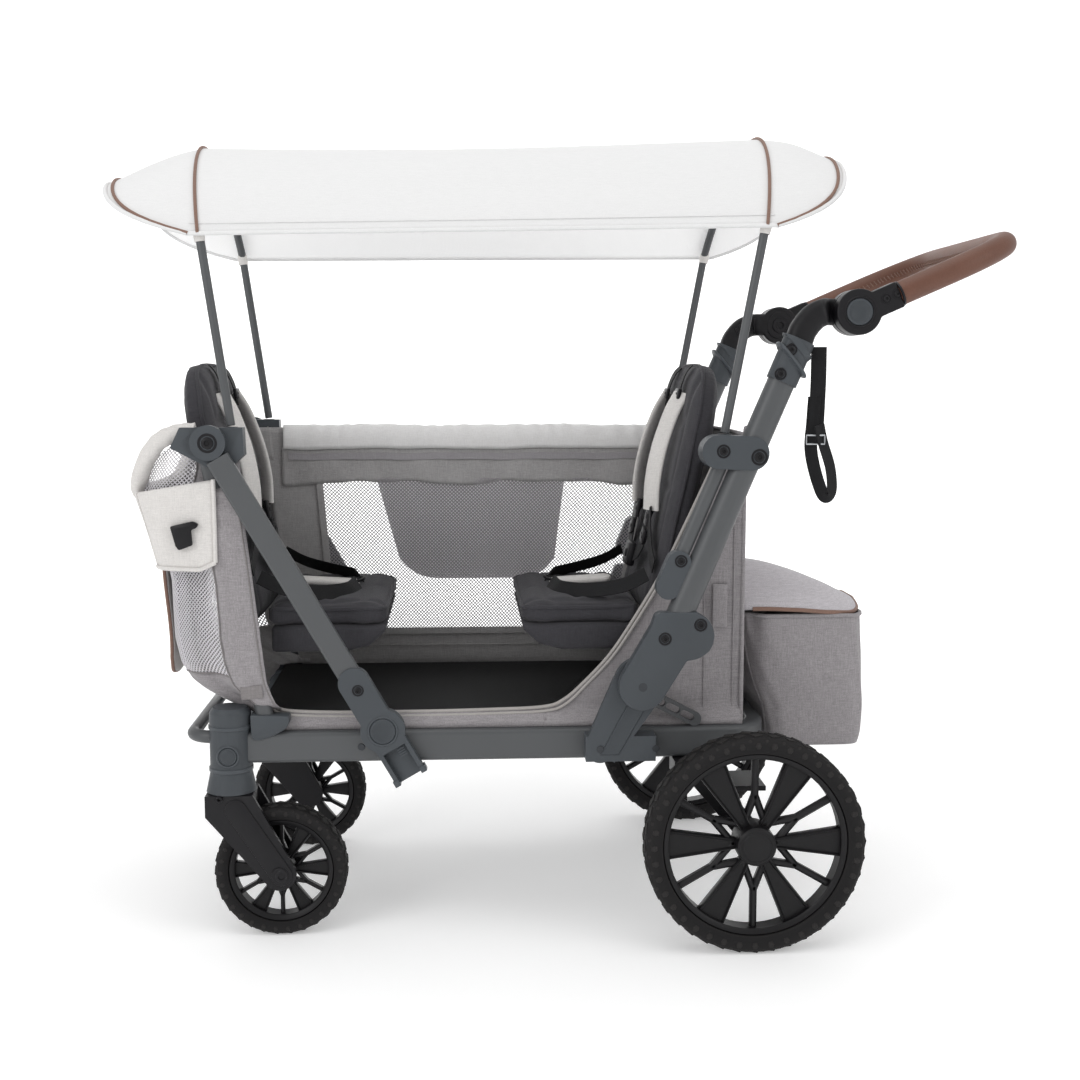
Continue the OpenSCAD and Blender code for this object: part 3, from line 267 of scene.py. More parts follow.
@dataclass(frozen=True)
class Finish:
    """A finish with its record slot, colour and roughness, and a name where it isn't the slot's."""

    slot: str
    colour: str
    roughness: float = 0.5
    name: str = field(default="", kw_only=True)

    def paint(self, sh: Shader) -> None:
        """Builds the nodes of a mottled satin surface with a painted highlight along its outer edges.

        Args:
            sh: Shader of the finish.
        """
        mottle = sh.noise(7.0, detail=4.0)
        base = sh.mix(tint(self.colour, 0.9), tint(self.colour, 1.1), mottle)
        # Paler outer edges: a painted highlight
        sh.set(Base_Color=sh.mix(base, tint(self.colour, 1.7), sh.edges() * 0.3))
        sh.set(Roughness=mottle * 0.16 + (self.roughness - 0.08))
        sh.bump(sh.noise(1100.0), 0.0002, 0.35)

    def material(self) -> bpy.types.Material:
        """The finish's material, made once.

        Returns:
            The material.
        """
        name = f"finish_{self.name or self.slot}"
        known = bpy.data.materials.get(name)
        if known is None:
            sh = Shader(name)
            self.paint(sh)
            known = sh.material
        return known


@dataclass(frozen=True)
class Moulded(Finish):
    """Moulded plastic with a fine spark-eroded grain."""

    grain: float = 700.0

    def paint(self, sh: Shader) -> None:
        """Builds a grained surface with glossier edges and a painted highlight along them.

        Args:
            sh: Shader of the finish.
        """
        mottle = sh.noise(12.0, detail=3.0)
        edge = sh.edges()
        base = sh.mix(tint(self.colour, 0.88), tint(self.colour, 1.12), mottle)
        # Paler outer edges: a painted highlight; the lower roughness there is real gloss
        sh.set(Base_Color=sh.mix(base, tint(self.colour, 1.8), edge * 0.35))
        sh.set(Roughness=(mottle * 0.14 + self.roughness) - edge * 0.12)
        sh.set(Specular_IOR_Level=0.3)
        sh.bump(sh.noise(self.grain, detail=1.0), 0.0003, 0.4)


@dataclass(frozen=True)
class Rubber(Finish):
    """Foam rubber with a dusty bloom."""

    def paint(self, sh: Shader) -> None:
        """Builds a matt surface with pale dust.

        Args:
            sh: Shader of the finish.
        """
        dust = sh.noise(26.0, detail=5.0)
        base = sh.mix(tint(self.colour, 0.8), tint(self.colour, 1.5), dust)
        sh.set(Base_Color=sh.mix(base, tint("6a6663"), sh.edges() * 0.1), Specular_IOR_Level=0.3)
        sh.set(Roughness=dust * 0.2 + (self.roughness - 0.1))
        sh.bump(sh.noise(900.0), 0.0003, 0.5)


@dataclass(frozen=True)
class Woven(Finish):
    """Woven cloth with slubs along both threads, and a painted glow where one is set."""

    contrast: float = 1.0
    sheen: float = 0.25
    # Strength of a painted glow: the cloth lights itself though it is no lamp
    painted_glow: float = 0.0

    def paint(self, sh: Shader) -> None:
        """Builds streaked threads, a fine weave relief, a soft sheen and a painted glow where one is set.

        Args:
            sh: Shader of the finish.
        """
        across = sh.noise(80.0, (1.0, 1.0, 10.0))
        along = sh.noise(80.0, (10.0, 10.0, 1.0))
        fleck = sh.noise(760.0, detail=1.0)
        tone = (((across + along) * 0.5 - 0.5) * (3.2 * self.contrast)
                + (fleck - 0.5) * (1.5 * self.contrast)) + 0.5
        east, deep, high = (sh.node("ShaderNodeSeparateXYZ", None, {"Vector": sh.coords}, axis)
                            for axis in "XYZ")
        weft = ((east + deep * 0.6) * THREADS).sine()
        warp = ((high + deep * 0.8) * THREADS).sine()
        sh.set(Base_Color=sh.mix(tint(self.colour, 0.72), tint(self.colour, 1.3), tone.clamped()))
        sh.set(Roughness=fleck * 0.12 + self.roughness)
        # Emission in the cloth's own colour: a painted glow
        sh.set(Sheen_Weight=self.sheen, Sheen_Roughness=0.5, Specular_IOR_Level=0.25,
               Emission_Color=tint(self.colour), Emission_Strength=self.painted_glow)
        sh.bump(weft * warp * 0.3 + (across + along) * 0.7, 0.0007, 0.45)


@dataclass(frozen=True)
class Hide(Finish):
    """Smooth leather with a pebbled grain."""

    def paint(self, sh: Shader) -> None:
        """Builds a pebbled, slightly polished surface.

        Args:
            sh: Shader of the finish.
        """
        cell = sh.node("ShaderNodeTexVoronoi", None, {"Vector": sh.coords, "Scale": 420.0})
        cloud = sh.noise(24.0, detail=4.0)
        base = sh.mix(tint(self.colour, 0.75), tint(self.colour, 1.25), cloud)
        sh.set(Base_Color=sh.mix(base, tint(self.colour, 0.6), cell * 0.4))
        sh.set(Roughness=cloud * 0.18 + self.roughness)
        sh.bump(cell, 0.0005, 0.35)


@dataclass(frozen=True)
class Metal(Finish):
    """Plated steel."""

    def paint(self, sh: Shader) -> None:
        """Builds a brushed metal surface.

        Args:
            sh: Shader of the finish.
        """
        streak = sh.noise(70.0, (1.0, 1.0, 14.0))
        sh.set(Base_Color=sh.mix(tint(self.colour, 0.8), tint(self.colour, 1.1), streak))
        sh.set(Metallic=1.0)
        sh.set(Roughness=streak * 0.2 + self.roughness)


FRAME_PAINT = Finish("frame_paint", "4c4e50", 0.42)
JOINT_PLASTIC = Moulded("joint_plastic", "43474b", 0.44)
BLACK_PLASTIC = Moulded("black_plastic", "131215", 0.42)
BUTTON_PLASTIC = Moulded("button_plastic", "3e4246", 0.4)
STEEL = Metal("steel", "4a4c4f", 0.36)
BRIGHT_STEEL = Metal("steel", "b9bcbf", 0.28, name="bright_steel")
WHEEL_PLASTIC = Moulded("wheel_plastic", "100f11", 0.42, 500.0)
TYRE = Rubber("tyre", "151415", 0.8)
OUTER_CLOTH = Woven("outer_cloth", "949092", 0.8, 0.6, 0.12)
INNER_CLOTH = Woven("inner_cloth", "a5a3a3", 0.82, 0.45, 0.1)
LIGHT_CLOTH = Woven("light_cloth", "d8d5d2", 0.8, 0.25, 0.1)
# A paler copy of the light cloth: painted light on the shaded far band
BAND_CLOTH_PAINTED_LIGHT = Woven("light_cloth", "f2efed", 0.8, 0.2, 0.1, name="band_painted_light")
SEAM_CLOTH = Woven("outer_cloth", "827e7e", 0.8, 0.4, 0.1, name="seam_cloth")
# A paler copy of the outer cloth: painted light on the lid's top
LID_CLOTH_PAINTED_LIGHT = Woven("outer_cloth", "c4c0c4", 0.8, 0.5, 0.12, name="lid_painted_light")
# A darker copy of the light cloth: painted shade of the shadowed sill
HEM_CLOTH_PAINTED_SHADE = Woven("light_cloth", "a8a4a1", 0.8, 0.25, 0.1, name="hem_painted_shade")
NET_CLOTH = Woven("net_cloth", "9a979a", 0.78, 0.3, 0.1)
LIGHT_NET = Woven("net_cloth", "d6d3d7", 0.78, 0.3, 0.1, name="light_net")
# A paler, glowing copy of the net cloth: painted light on the shaded pocket
POCKET_CLOTH_PAINTED_LIGHT = Woven("net_cloth", "e6e3e7", 0.78, 0.3, 0.1, 0.08, name="pocket_painted_light")
FLOOR_MAT = Woven("floor_mat", "0f0f10", 0.75, 0.5, 0.03)
SEAT_CLOTH = Woven("seat_cloth", "3a393d", 0.8, 0.5, 0.1)
CANOPY_CLOTH = Woven("canopy_cloth", "e4e4e4", 0.75, 0.08, 0.05)
# Roof lining: paler than the roof cloth and glowing, painted light under the roof
CANOPY_LINING = Woven("canopy_cloth", "f0f0f0", 0.8, 0.05, 0.05, 0.3, name="canopy_lining")
WEBBING = Woven("webbing", "161618", 0.7, 0.6, 0.06)
LEATHER = Hide("leather", "6b4535", 0.42)
PIPING = Woven("leather", "84695d", 0.65, 0.3, 0.08, name="piping")
FINISHES = (FRAME_PAINT, JOINT_PLASTIC, BLACK_PLASTIC, BUTTON_PLASTIC, STEEL, WHEEL_PLASTIC, TYRE,
            OUTER_CLOTH,
            INNER_CLOTH, LIGHT_CLOTH, NET_CLOTH, FLOOR_MAT, SEAT_CLOTH, CANOPY_CLOTH, WEBBING, LEATHER)


def spline(points: Sequence[Sequence[float]], per: int = 8, closed: bool = False) -> list[Vector]:
    """Smooth line through points.

    Args:
        points: The points to pass.
        per: Steps between two of them.
        closed: Whether the line returns to its start.

    Returns:
        Points along the line.
    """
    pts = [Vector(p) for p in points]
    n = len(pts)
    spans = n if closed else n - 1
    line: list[Vector] = []
    for i in range(spans):
        p0 = pts[(i - 1) % n] if closed or i > 0 else pts[0] * 2 - pts[1]
        p1, p2 = pts[i], pts[(i + 1) % n]
        p3 = pts[(i + 2) % n] if closed or i + 2 < n else pts[-1] * 2 - pts[-2]
        for k in range(per):
            t = k / per
            line.append(0.5 * (2 * p1 + (p2 - p0) * t + (2 * p0 - 5 * p1 + 4 * p2 - p3) * t ** 2
                               + (3 * p1 - p0 - 3 * p2 + p3) * t ** 3))
    if not closed:
        line.append(pts[-1])
    return line


def ring_section(radius: float, sides: int = 10) -> list[Pair]:
    """Round cross-section."""
    return [(radius * cos(2 * pi * k / sides), radius * sin(2 * pi * k / sides))
            for k in range(sides)]


def flat_section(width: float, thick: float) -> list[Pair]:
    """Flat cross-section with cut corners."""
    w, t, c = width / 2, thick / 2, thick * 0.3
    return [(-w + c, -t), (w - c, -t), (w, -t + c), (w, t - c), (w - c, t), (-w + c, t), (-w, t - c),
            (-w, -t + c)]


def swollen(value: float, power: float) -> float:
    """Power of a number's size, with its sign kept."""
    return copysign(abs(value) ** power, value)


def shares(n: int) -> list[float]:
    """Even steps from 0 to 1, both among them."""
    return [k / n for k in range(n + 1)]


def spin(angle: float, axis: str = "Z") -> Matrix:
    """Turn about an axis."""
    return Matrix.Rotation(angle, 4, axis)


def shift(by: Sequence[float]) -> Matrix:
    """Move without a turn."""
    return Matrix.Translation(by)


def put_in(name: str, data: bpy.types.ID) -> Piece:
    """Puts a new object in the scene.

    Args:
        name: Name of the object.
        data: What it holds.

    Returns:
        The piece.
    """
    made = bpy.data.objects.new(name, data)
    bpy.context.scene.collection.objects.link(made)
    return made


Surface = Callable[[float, float], Vector]


class Form:
    """A mesh in the making, shaped by bmesh operators."""

    def __init__(self) -> None:
        """Starts empty."""
        self.bm = bmesh.new()

    def grid(self, nu: int, nv: int, at: Surface) -> "Form":
        """Lays a grid and bends it to a surface.

        Args:
            nu: Faces along the first way.
            nv: Faces along the second way.
            at: Place of each pair of shares from 0 to 1.

        Returns:
            The form.
        """
        for v in bmesh.ops.create_grid(self.bm, x_segments=nu, y_segments=nv, size=0.5)["verts"]:
            v.co = at(v.co.x + 0.5, v.co.y + 0.5)
        return self

    def round(self, verts: Iterable[bmesh.types.BMVert], width: float) -> None:
        """Bevels the sharp edges of some vertices."""
        edges = {e for v in verts for e in v.link_edges
                 if len(e.link_faces) == 2 and e.calc_face_angle() > BEVEL_ANGLE}
        bmesh.ops.bevel(self.bm, geom=list(edges), offset=width, affect="EDGES", segments=2, profile=0.5,
                        material=-1)

    def block(self, size: Triple, place: Matrix, bevel: float = 0.0) -> None:
        """Adds a box about a place.

        Args:
            size: Its three sides.
            place: Matrix of its middle.
            bevel: Width of its rounded edges.
        """
        made = bmesh.ops.create_cube(self.bm, size=1.0, matrix=place @ Matrix.Diagonal((*size, 1.0)))["verts"]
        if bevel:
            self.round(made, bevel)

    def lathe(self, profile: Sequence[Pair], place: Matrix, steps: int = 40, closed: bool = False) -> None:
        """Spins a profile of radius and height about the place's own height.

        Args:
            profile: Radius and height of each point.
            place: Matrix of the axis.
            steps: Steps round the axis.
            closed: Whether the profile is a ring.
        """
        before = set(self.bm.verts)
        verts = [self.bm.verts.new((r, 0.0, h)) for r, h in profile]
        edges = [self.bm.edges.new(pair) for pair in zip(verts, verts[1:])]
        if closed:
            edges.append(self.bm.edges.new((verts[-1], verts[0])))
        bmesh.ops.spin(self.bm, geom=verts + edges, cent=(0, 0, 0), axis=(0, 0, 1), dvec=(0, 0, 0),
                       angle=2 * pi, steps=steps, use_merge=True, use_duplicate=False)
        self._put(before, place)

    def plate(self, outline: Sequence[Pair], thick: float, place: Matrix, bevel: float = 0.0,
              dish: Pair | None = None) -> None:
        """Extrudes an outline.

        Args:
            outline: Points of the outline.
            thick: Height of the plate.
            place: Matrix of the drawing.
            bevel: Width of its rounded edges.
            dish: Rim width and depth of a hollow in its top.
        """
        before = set(self.bm.verts)
        low = self.bm.faces.new([self.bm.verts.new((x, y, 0.0)) for x, y in outline])
        top = bmesh.ops.extrude_face_region(self.bm, geom=[low], use_keep_orig=True)["geom"]
        bmesh.ops.translate(self.bm, verts=[g for g in top if isinstance(g, bmesh.types.BMVert)],
                            vec=(0, 0, thick))
        if bevel:
            self.round([v for v in self.bm.verts if v not in before], bevel)
        if dish:
            lid = max((f for f in self.bm.faces if not before.intersection(f.verts)),
                      key=lambda f: f.calc_center_median().z + f.calc_area())
            bmesh.ops.inset_region(self.bm, faces=[lid], thickness=dish[0], depth=-dish[1])
        self._put(before, place)

    def _put(self, before: set[bmesh.types.BMVert], place: Matrix) -> None:
        """Moves the vertices that weren't there before."""
        bmesh.ops.transform(self.bm, matrix=place, verts=[v for v in self.bm.verts if v not in before])

    def sweep(self, path: Sequence[Vector], section: Sequence[Pair], up: Triple = (0, 0, 1),
              closed: bool = False) -> None:
        """Carries a cross-section along a path without twist.

        Args:
            path: Points of the path.
            section: Points of the cross-section; its second way starts along up.
            up: Direction near the section's second way.
            closed: Whether the path is a ring.
        """
        count = len(path)
        side = Vector(up)
        places: list[Matrix] = []
        for i, p in enumerate(path):
            ahead = path[(i + 1) % count] if closed or i + 1 < count else p
            behind = path[i - 1] if closed or i > 0 else p
            along = (ahead - behind).normalized()
            side = (side - along * side.dot(along)).normalized()
            across = side.cross(along)
            places.append(Matrix((across, side, along)).transposed().to_4x4())
            places[-1].translation = p
        verts = [self.bm.verts.new(places[0] @ Vector((x, y, 0.0))) for x, y in section]
        edges = [self.bm.edges.new((a, b)) for a, b in zip(verts, verts[1:] + verts[:1])]
        first = edges
        for last, place in zip(places, places[1:]):
            made = bmesh.ops.extrude_edge_only(self.bm, edges=edges)["geom"]
            new = {g for g in made if isinstance(g, bmesh.types.BMVert)}
            edges = [g for g in made if isinstance(g, bmesh.types.BMEdge) and new.issuperset(g.verts)]
            bmesh.ops.transform(self.bm, matrix=place @ last.inverted(), verts=list(new))
        if closed:
            bmesh.ops.bridge_loops(self.bm, edges=first + edges)
        else:
            bmesh.ops.edgeloop_fill(self.bm, edges=first)
            bmesh.ops.edgeloop_fill(self.bm, edges=edges)

    def tube(self, path: Sequence[Vector], radius: float, sides: int = 8, closed: bool = False) -> None:
        """Carries a round section along a path."""
        self.sweep(path, ring_section(radius, sides), (0.13, 0.21, 0.97), closed)

    def both(self) -> "Form":
        """Adds the mirror image on the wagon's other side."""
        bmesh.ops.mirror(self.bm, geom=self.bm.verts[:] + self.bm.edges[:] + self.bm.faces[:], axis="Y",
                         matrix=Matrix.Identity(4), merge_dist=0.00002)
        return self

    def mesh(self, name: str) -> bpy.types.Mesh:
        """Hands the form over as a mesh.

        Args:
            name: Name of the mesh.

        Returns:
            The mesh.
        """
        made = bpy.data.meshes.new(name)
        self.bm.to_mesh(made)
        self.bm.free()
        return made

    def done(self, name: str, finish: Finish, body: str = CHASSIS, replaces: Sequence[str] = (),
             angle: float = 38.0, turn: bool = True) -> Piece:
        """Turns the form into a dressed piece that rides on a body.

        Args:
            name: Name of the piece.
            finish: Its finish.
            body: The body that carries it.
            replaces: Frame nodes that it stands for.
            angle: Angle in degrees above which an edge stays sharp.
            turn: Whether normals are recalculated.

        Returns:
            The piece.
        """
        bmesh.ops.remove_doubles(self.bm, verts=self.bm.verts[:], dist=0.00001)
        if turn:
            bmesh.ops.recalc_face_normals(self.bm, faces=self.bm.faces[:])
        mesh = self.mesh(name)
        mesh.shade_smooth()
        mesh.set_sharp_from_angle(angle=radians(angle))
        piece = put_in(name, mesh)
        mesh.materials.append(finish.material())
        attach(piece, body)
        if replaces:
            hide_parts(*replaces)
        LOG.info("%s: %d faces on %s", name, len(mesh.polygons), body)
        return piece

    def lined(self, name: str, finish: Finish, back: Finish, thick: float, replaces: Sequence[str] = (),
              body: str = CHASSIS, angle: float = SOFT, turn: bool = False) -> Piece:
        """Turns an open form into a sheet of cloth with a lining behind it.

        Args:
            name: Name of the piece.
            finish: Finish of its face, where its normals point.
            back: Finish of its lining.
            thick: Thickness of the cloth.
            replaces: Frame nodes that it stands for.
            body: The body that carries it.
            angle: Angle in degrees above which an edge stays sharp.
            turn: Whether normals are recalculated.

        Returns:
            The piece.
        """
        piece = self.done(name, finish, body, replaces, angle, turn)
        piece.data.materials.append(back.material())
        wall = piece.modifiers.new("cloth", "SOLIDIFY")
        wall.thickness = thick
        wall.offset = -1.0
        wall.material_offset = 1
        return piece


def crush(*pieces: Piece) -> None:
    """Gives each piece its own copy of its mesh."""
    for piece in pieces:
        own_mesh(piece)


def smooth(piece: Piece) -> Piece:
    """Adds one level of subdivision surface to a piece.

    Args:
        piece: The piece.

    Returns:
        The piece.
    """
    sub = piece.modifiers.new("smooth", "SUBSURF")
    sub.levels = 1
    sub.render_levels = 1
    return piece


def ripple(u: float, v: float, seed: float) -> float:
    """Irregular folds between -1 and 1.

    Args:
        u: Place along the cloth.
        v: Place across the cloth.
        seed: Number that sets the pattern.

    Returns:
        Height of the fold.
    """
    return (sin(u * 9.1 + v * 2.3 + seed) * 0.5 + sin(u * 17.7 - v * 3.1 + seed * 2.7) * 0.3
            + sin(u * 31.0 + v * 5.2 + seed * 4.1) * 0.2)


@dataclass
class Studio:
    """White sweep, soft lights and the camera."""

    camera_at: Triple = (-0.142, -2.1637, 0.7809)
    camera_turn: Triple = (83.566, 0.0, -3.271)
    lens: float = 47.3
    sensor: float = 36.0
    wide: float = 16.0
    near: float = -8.0
    far: float = 5.0
    bend: float = 1.5
    tall: float = 5.0
    white: Colour = (1.0, 1.0, 1.0, 1.0)
    lamps: tuple[tuple[str, Triple, Triple, float, float], ...] = (
        ("lamp_top", (0.0, -0.3, 3.2), (0.0, 0.0, 0.5), 3.0, 30.0),
        ("lamp_left", (-2.4, -2.4, 2.0), (-0.1, 0.0, 0.6), 1.8, 30.0),
        ("lamp_right", (2.6, -2.0, 1.8), (0.1, 0.0, 0.6), 1.8, 16.0),
        ("lamp_back", (0.0, 3.2, 2.6), (0.0, 5.0, 0.9), 3.0, 80.0))

    def build(self) -> None:
        """Makes the stage, the lights and the camera."""
        mesh = Form().grid(2, 40, lambda u,
                           v: Vector(((u - 0.5) * self.wide, *self._sweep(v)))).mesh("studio_sweep")
        mesh.shade_smooth()
        floor = put_in("studio_sweep", mesh)
        sh = Shader("studio_white")
        sh.set(Base_Color=(0.9, 0.9, 0.9, 1.0), Roughness=0.9, Emission_Color=self.white,
               Emission_Strength=0.26)
        mesh.materials.append(sh.material)
        world = bpy.data.worlds.new("studio_light")
        world.use_nodes = True
        sky = world.node_tree.nodes["Background"]
        sky.inputs["Color"].default_value = self.white
        sky.inputs["Strength"].default_value = 0.56
        scene = bpy.context.scene
        scene.world = world
        for name, at, aim, size, power in self.lamps:
            light = bpy.data.lights.new(name, "AREA")
            light.size = size
            light.energy = power
            lamp = put_in(name, light)
            lamp.location = at
            lamp.rotation_euler = (Vector(aim) - Vector(at)).to_track_quat("-Z", "Y").to_euler()
        data = bpy.data.cameras.new("camera")
        data.lens = self.lens
        data.sensor_width = self.sensor
        scene.camera = put_in("camera", data)
        scene.camera.location = self.camera_at
        scene.camera.rotation_euler = [radians(a) for a in self.camera_turn]
        scene.view_settings.view_transform = "Standard"

    def _sweep(self, v: float) -> Pair:
        """Section of the sweep: floor, bend and wall.

        Args:
            v: Share of its length.

        Returns:
            Depth and height.
        """
        bend = self.bend
        if v < 0.5:
            return (self.near + v * 2 * (self.far - self.near - bend), 0.0)
        if v < 0.75:
            a = (v - 0.5) * 4 * pi / 2
            return (self.far - bend + bend * sin(a), bend - bend * cos(a))
        return (self.far, bend + (v - 0.75) * 4 * self.tall)


@dataclass
class CadDress:
    """Finishes and eased edges for the frame's own nodes."""

    ease: float = 0.0011
    wide_ease: float = 0.0022
    wide: tuple[str, ...] = ("strut_hubs", "front_top_brackets", "rear_top_brackets", "fold_links",
                             "handle_arms", "caster_heads", "tube_collars", "link_sliders", "axle_hangers",
                             "caster_fork_left", "caster_fork_right")

    def build(self) -> None:
        """Dresses every node by its slot in the record."""
        by_slot = {f.slot: f for f in FINISHES}
        slots = {p["node"]: p["material_slot"] for p in frame["record"]["subparts"]}
        for name, node in frame["nodes"].items():
            node.data.materials.clear()
            node.data.materials.append(by_slot[slots[name]].material())
            self._ease(node, self.wide_ease if name in self.wide else self.ease)
            LOG.info("%s: frame node in %s", name, slots[name])

    def _ease(self, node: Piece, width: float) -> None:
        """Welds a node's triangles and rounds its sharp edges.

        Args:
            node: The node.
            width: Width of the bevel.
        """
        weld = node.modifiers.new("weld", "WELD")
        weld.merge_threshold = 0.00001
        flat = node.modifiers.new("flat", "DECIMATE")
        flat.decimate_type = "DISSOLVE"
        flat.angle_limit = radians(1.0)
        edge = node.modifiers.new("edge", "BEVEL")
        edge.width = width
        edge.segments = 2
        edge.limit_method = "ANGLE"
        edge.angle_limit = radians(38.0)
        even = node.modifiers.new("even", "WEIGHTED_NORMAL")
        even.keep_sharp = False


@dataclass
class Wheel:
    """A spoked wheel with a moulded foam tyre, which stands on the floor."""

    side: Side
    end: str
    centre: Triple
    width: float
    rim_share: float
    blocks: int
    hub_share: float = 0.175
    paddles: int = 6
    lip: float = 0.009
    steps: int = 72

    def build(self) -> None:
        """Makes the tyre and the rim."""
        x, y, self.radius = self.centre
        self.place = self.side.face(y, x, self.radius)
        self.rim_r = self.radius * self.rim_share
        body, tyre, rim = (f"{self.end}_{part}_{self.side.word}" for part in ("wheel", "tyre", "rim"))
        self._tyre().done(tyre + "_moulded", TYRE, body, [tyre], CRISP)
        self._rim().done(rim + "_spoked", WHEEL_PLASTIC, body, [rim], 32.0)

    def _tyre(self) -> Form:
        """Tyre with shoulder blocks and a grooved tread.

        Returns:
            The form.
        """
        form = Form()
        w, r0, r1 = self.width / 2, self.rim_r, self.radius - 0.001
        tall = r1 - r0
        half = [(r0, 0.78 * w), (r0 + 0.1 * tall, 0.86 * w), (r0 + 0.3 * tall, 0.96 * w),
                (r0 + 0.58 * tall, w),
                (r0 + 0.78 * tall, 0.95 * w), (r1 - 0.05 * tall, 0.78 * w), (r1, 0.52 * w), (r1, 0.16 * w)]
        form.lathe(half + [(r, -h) for r, h in reversed(half)], self.place, self.steps, True)
        pitch = 2 * pi / self.blocks
        for k in range(self.blocks):
            for way in (1.0, -1.0):
                a = k * pitch + (0.0 if way > 0 else pitch / 2)
                foot, face = (1.15, 0.8) if way > 0 else (0.8, 1.15)
                for at, size, turn, sunk in ((0.52, 0.19, 0.0, 0.0), (0.8, 0.11, pitch / 2, 0.0016)):
                    spot = spin(a + turn) @ shift((r0 + at * tall, 0.0, way * (w - sunk)))
                    bmesh.ops.create_cone(form.bm, cap_ends=True, segments=6, radius1=size * tall * foot,
                                          radius2=size * tall * face, depth=0.0014, matrix=self.place @ spot)
                tread = spin(a) @ shift((r1, 0.0, way * w * 0.36)) @ spin(way * 0.5, "X")
                form.block((0.0019, pitch * r1 * 0.62, w * 0.46), self.place @ tread)
        return form

    def _rim(self) -> Form:
        """Ring, hub with a bare cap, dished paddles and split spokes.

        Returns:
            The form.
        """
        form = Form()
        r, w, lip = self.rim_r, self.width / 2, self.lip
        flat = w * 0.62
        half = [(r - lip, flat - 0.002), (r - lip + 0.002, flat), (r - 0.002, flat + 0.0015), (r, flat)]
        form.lathe(half + [(a, -h) for a, h in reversed(half)], self.place, self.steps, True)
        hub = self.radius * self.hub_share
        form.lathe([(0.0, w + 0.004), (hub * 0.72, w + 0.0036), (hub * 0.78, w + 0.0022),
                    (hub * 0.9, w + 0.0022), (hub, w), (hub * 1.04, w * 0.6), (hub * 1.04, -w * 0.9),
                    (hub * 0.9, -w), (0.0, -w)], self.place, 48)
        reach = r - lip * 0.6
        thick = self.width * 0.34
        root, tip = (hub * 0.9, hub * 0.26), (reach, r * 0.165)
        paddle = [(root[0], -root[1]), (tip[0], -tip[1]), tip, root]
        mid = r * 0.5
        section = flat_section(thick * 0.8, r * 0.075)
        spoke = [((mid - 0.002, 0), (reach, 0))]
        spoke += [((hub * 0.82, s * hub * 0.62), (mid + 0.003, 0)) for s in (-1, 1)]
        for k in range(self.paddles):
            turn = self.place @ spin(2 * pi * k / self.paddles)
            form.plate(paddle, thick, turn @ shift((0, 0, -thick * 0.4)), 0.0022, (r * 0.022, 0.0034))
            turn = turn @ spin(pi / self.paddles)
            for path in spoke:
                form.sweep([turn @ Vector((x, y, 0)) for x, y in path], section, turn.col[1][:3])
        return form


@dataclass
class Buttons:
    """Dished push buttons with a collar ring."""

    ring: float = 0.0026
    kinds: tuple[tuple[str, str, float], ...] = (("handle", "handle", 0.0044),
                                                 ("strut", "front_frame", 0.0024),
                                                 ("caster", CHASSIS, -0.0012))

    def build(self) -> None:
        """Makes the buttons of the handle, the struts and the casters on both sides."""
        for side in Side:
            for kind, around, dish in self.kinds:
                self._button(f"{kind}_button_{side.word}", around, side, dish)

    def _button(self, node: str, around: str, side: Side, dish: float) -> None:
        """Makes one button in its node's place and the ring round it.

        Args:
            node: The button's frame node, named as its body is.
            around: The body that holds the ring.
            side: Side of the wagon.
            dish: Depth of its hollow.
        """
        low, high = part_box(node)
        x, z, r = (low.x + high.x) / 2, (low.z + high.z) / 2, (high.x - low.x) / 2
        inner, outer = sorted((abs(low.y), abs(high.y)))
        top = outer - inner
        form = Form()
        form.lathe([(0.0, top - dish), (r * 0.4, top - dish * 0.92), (r * 0.7, top - dish * 0.45),
                    (r * 0.82, top - 0.0002), (r * 0.93, top), (r, top - 0.0012), (r, 0.0034),
                    (r - 0.0032, 0.0003), (0.0, 0.0003)], side.face(inner, x, z), 40)
        form.done(node + "_dished", BUTTON_PLASTIC, node, [node], CRISP)
        ring = Form()
        ring.lathe([(r + 0.0006, 0.0), (r + 0.0006, 0.0009), (r + 0.0012, 0.0014), (r + self.ring, 0.0014),
                    (r + self.ring + 0.0012, 0.0)], side.face(outer - 0.0016, x, z), 40)
        ring.done(node + "_ring", BLACK_PLASTIC if around == "handle" else JOINT_PLASTIC, around, angle=CRISP)


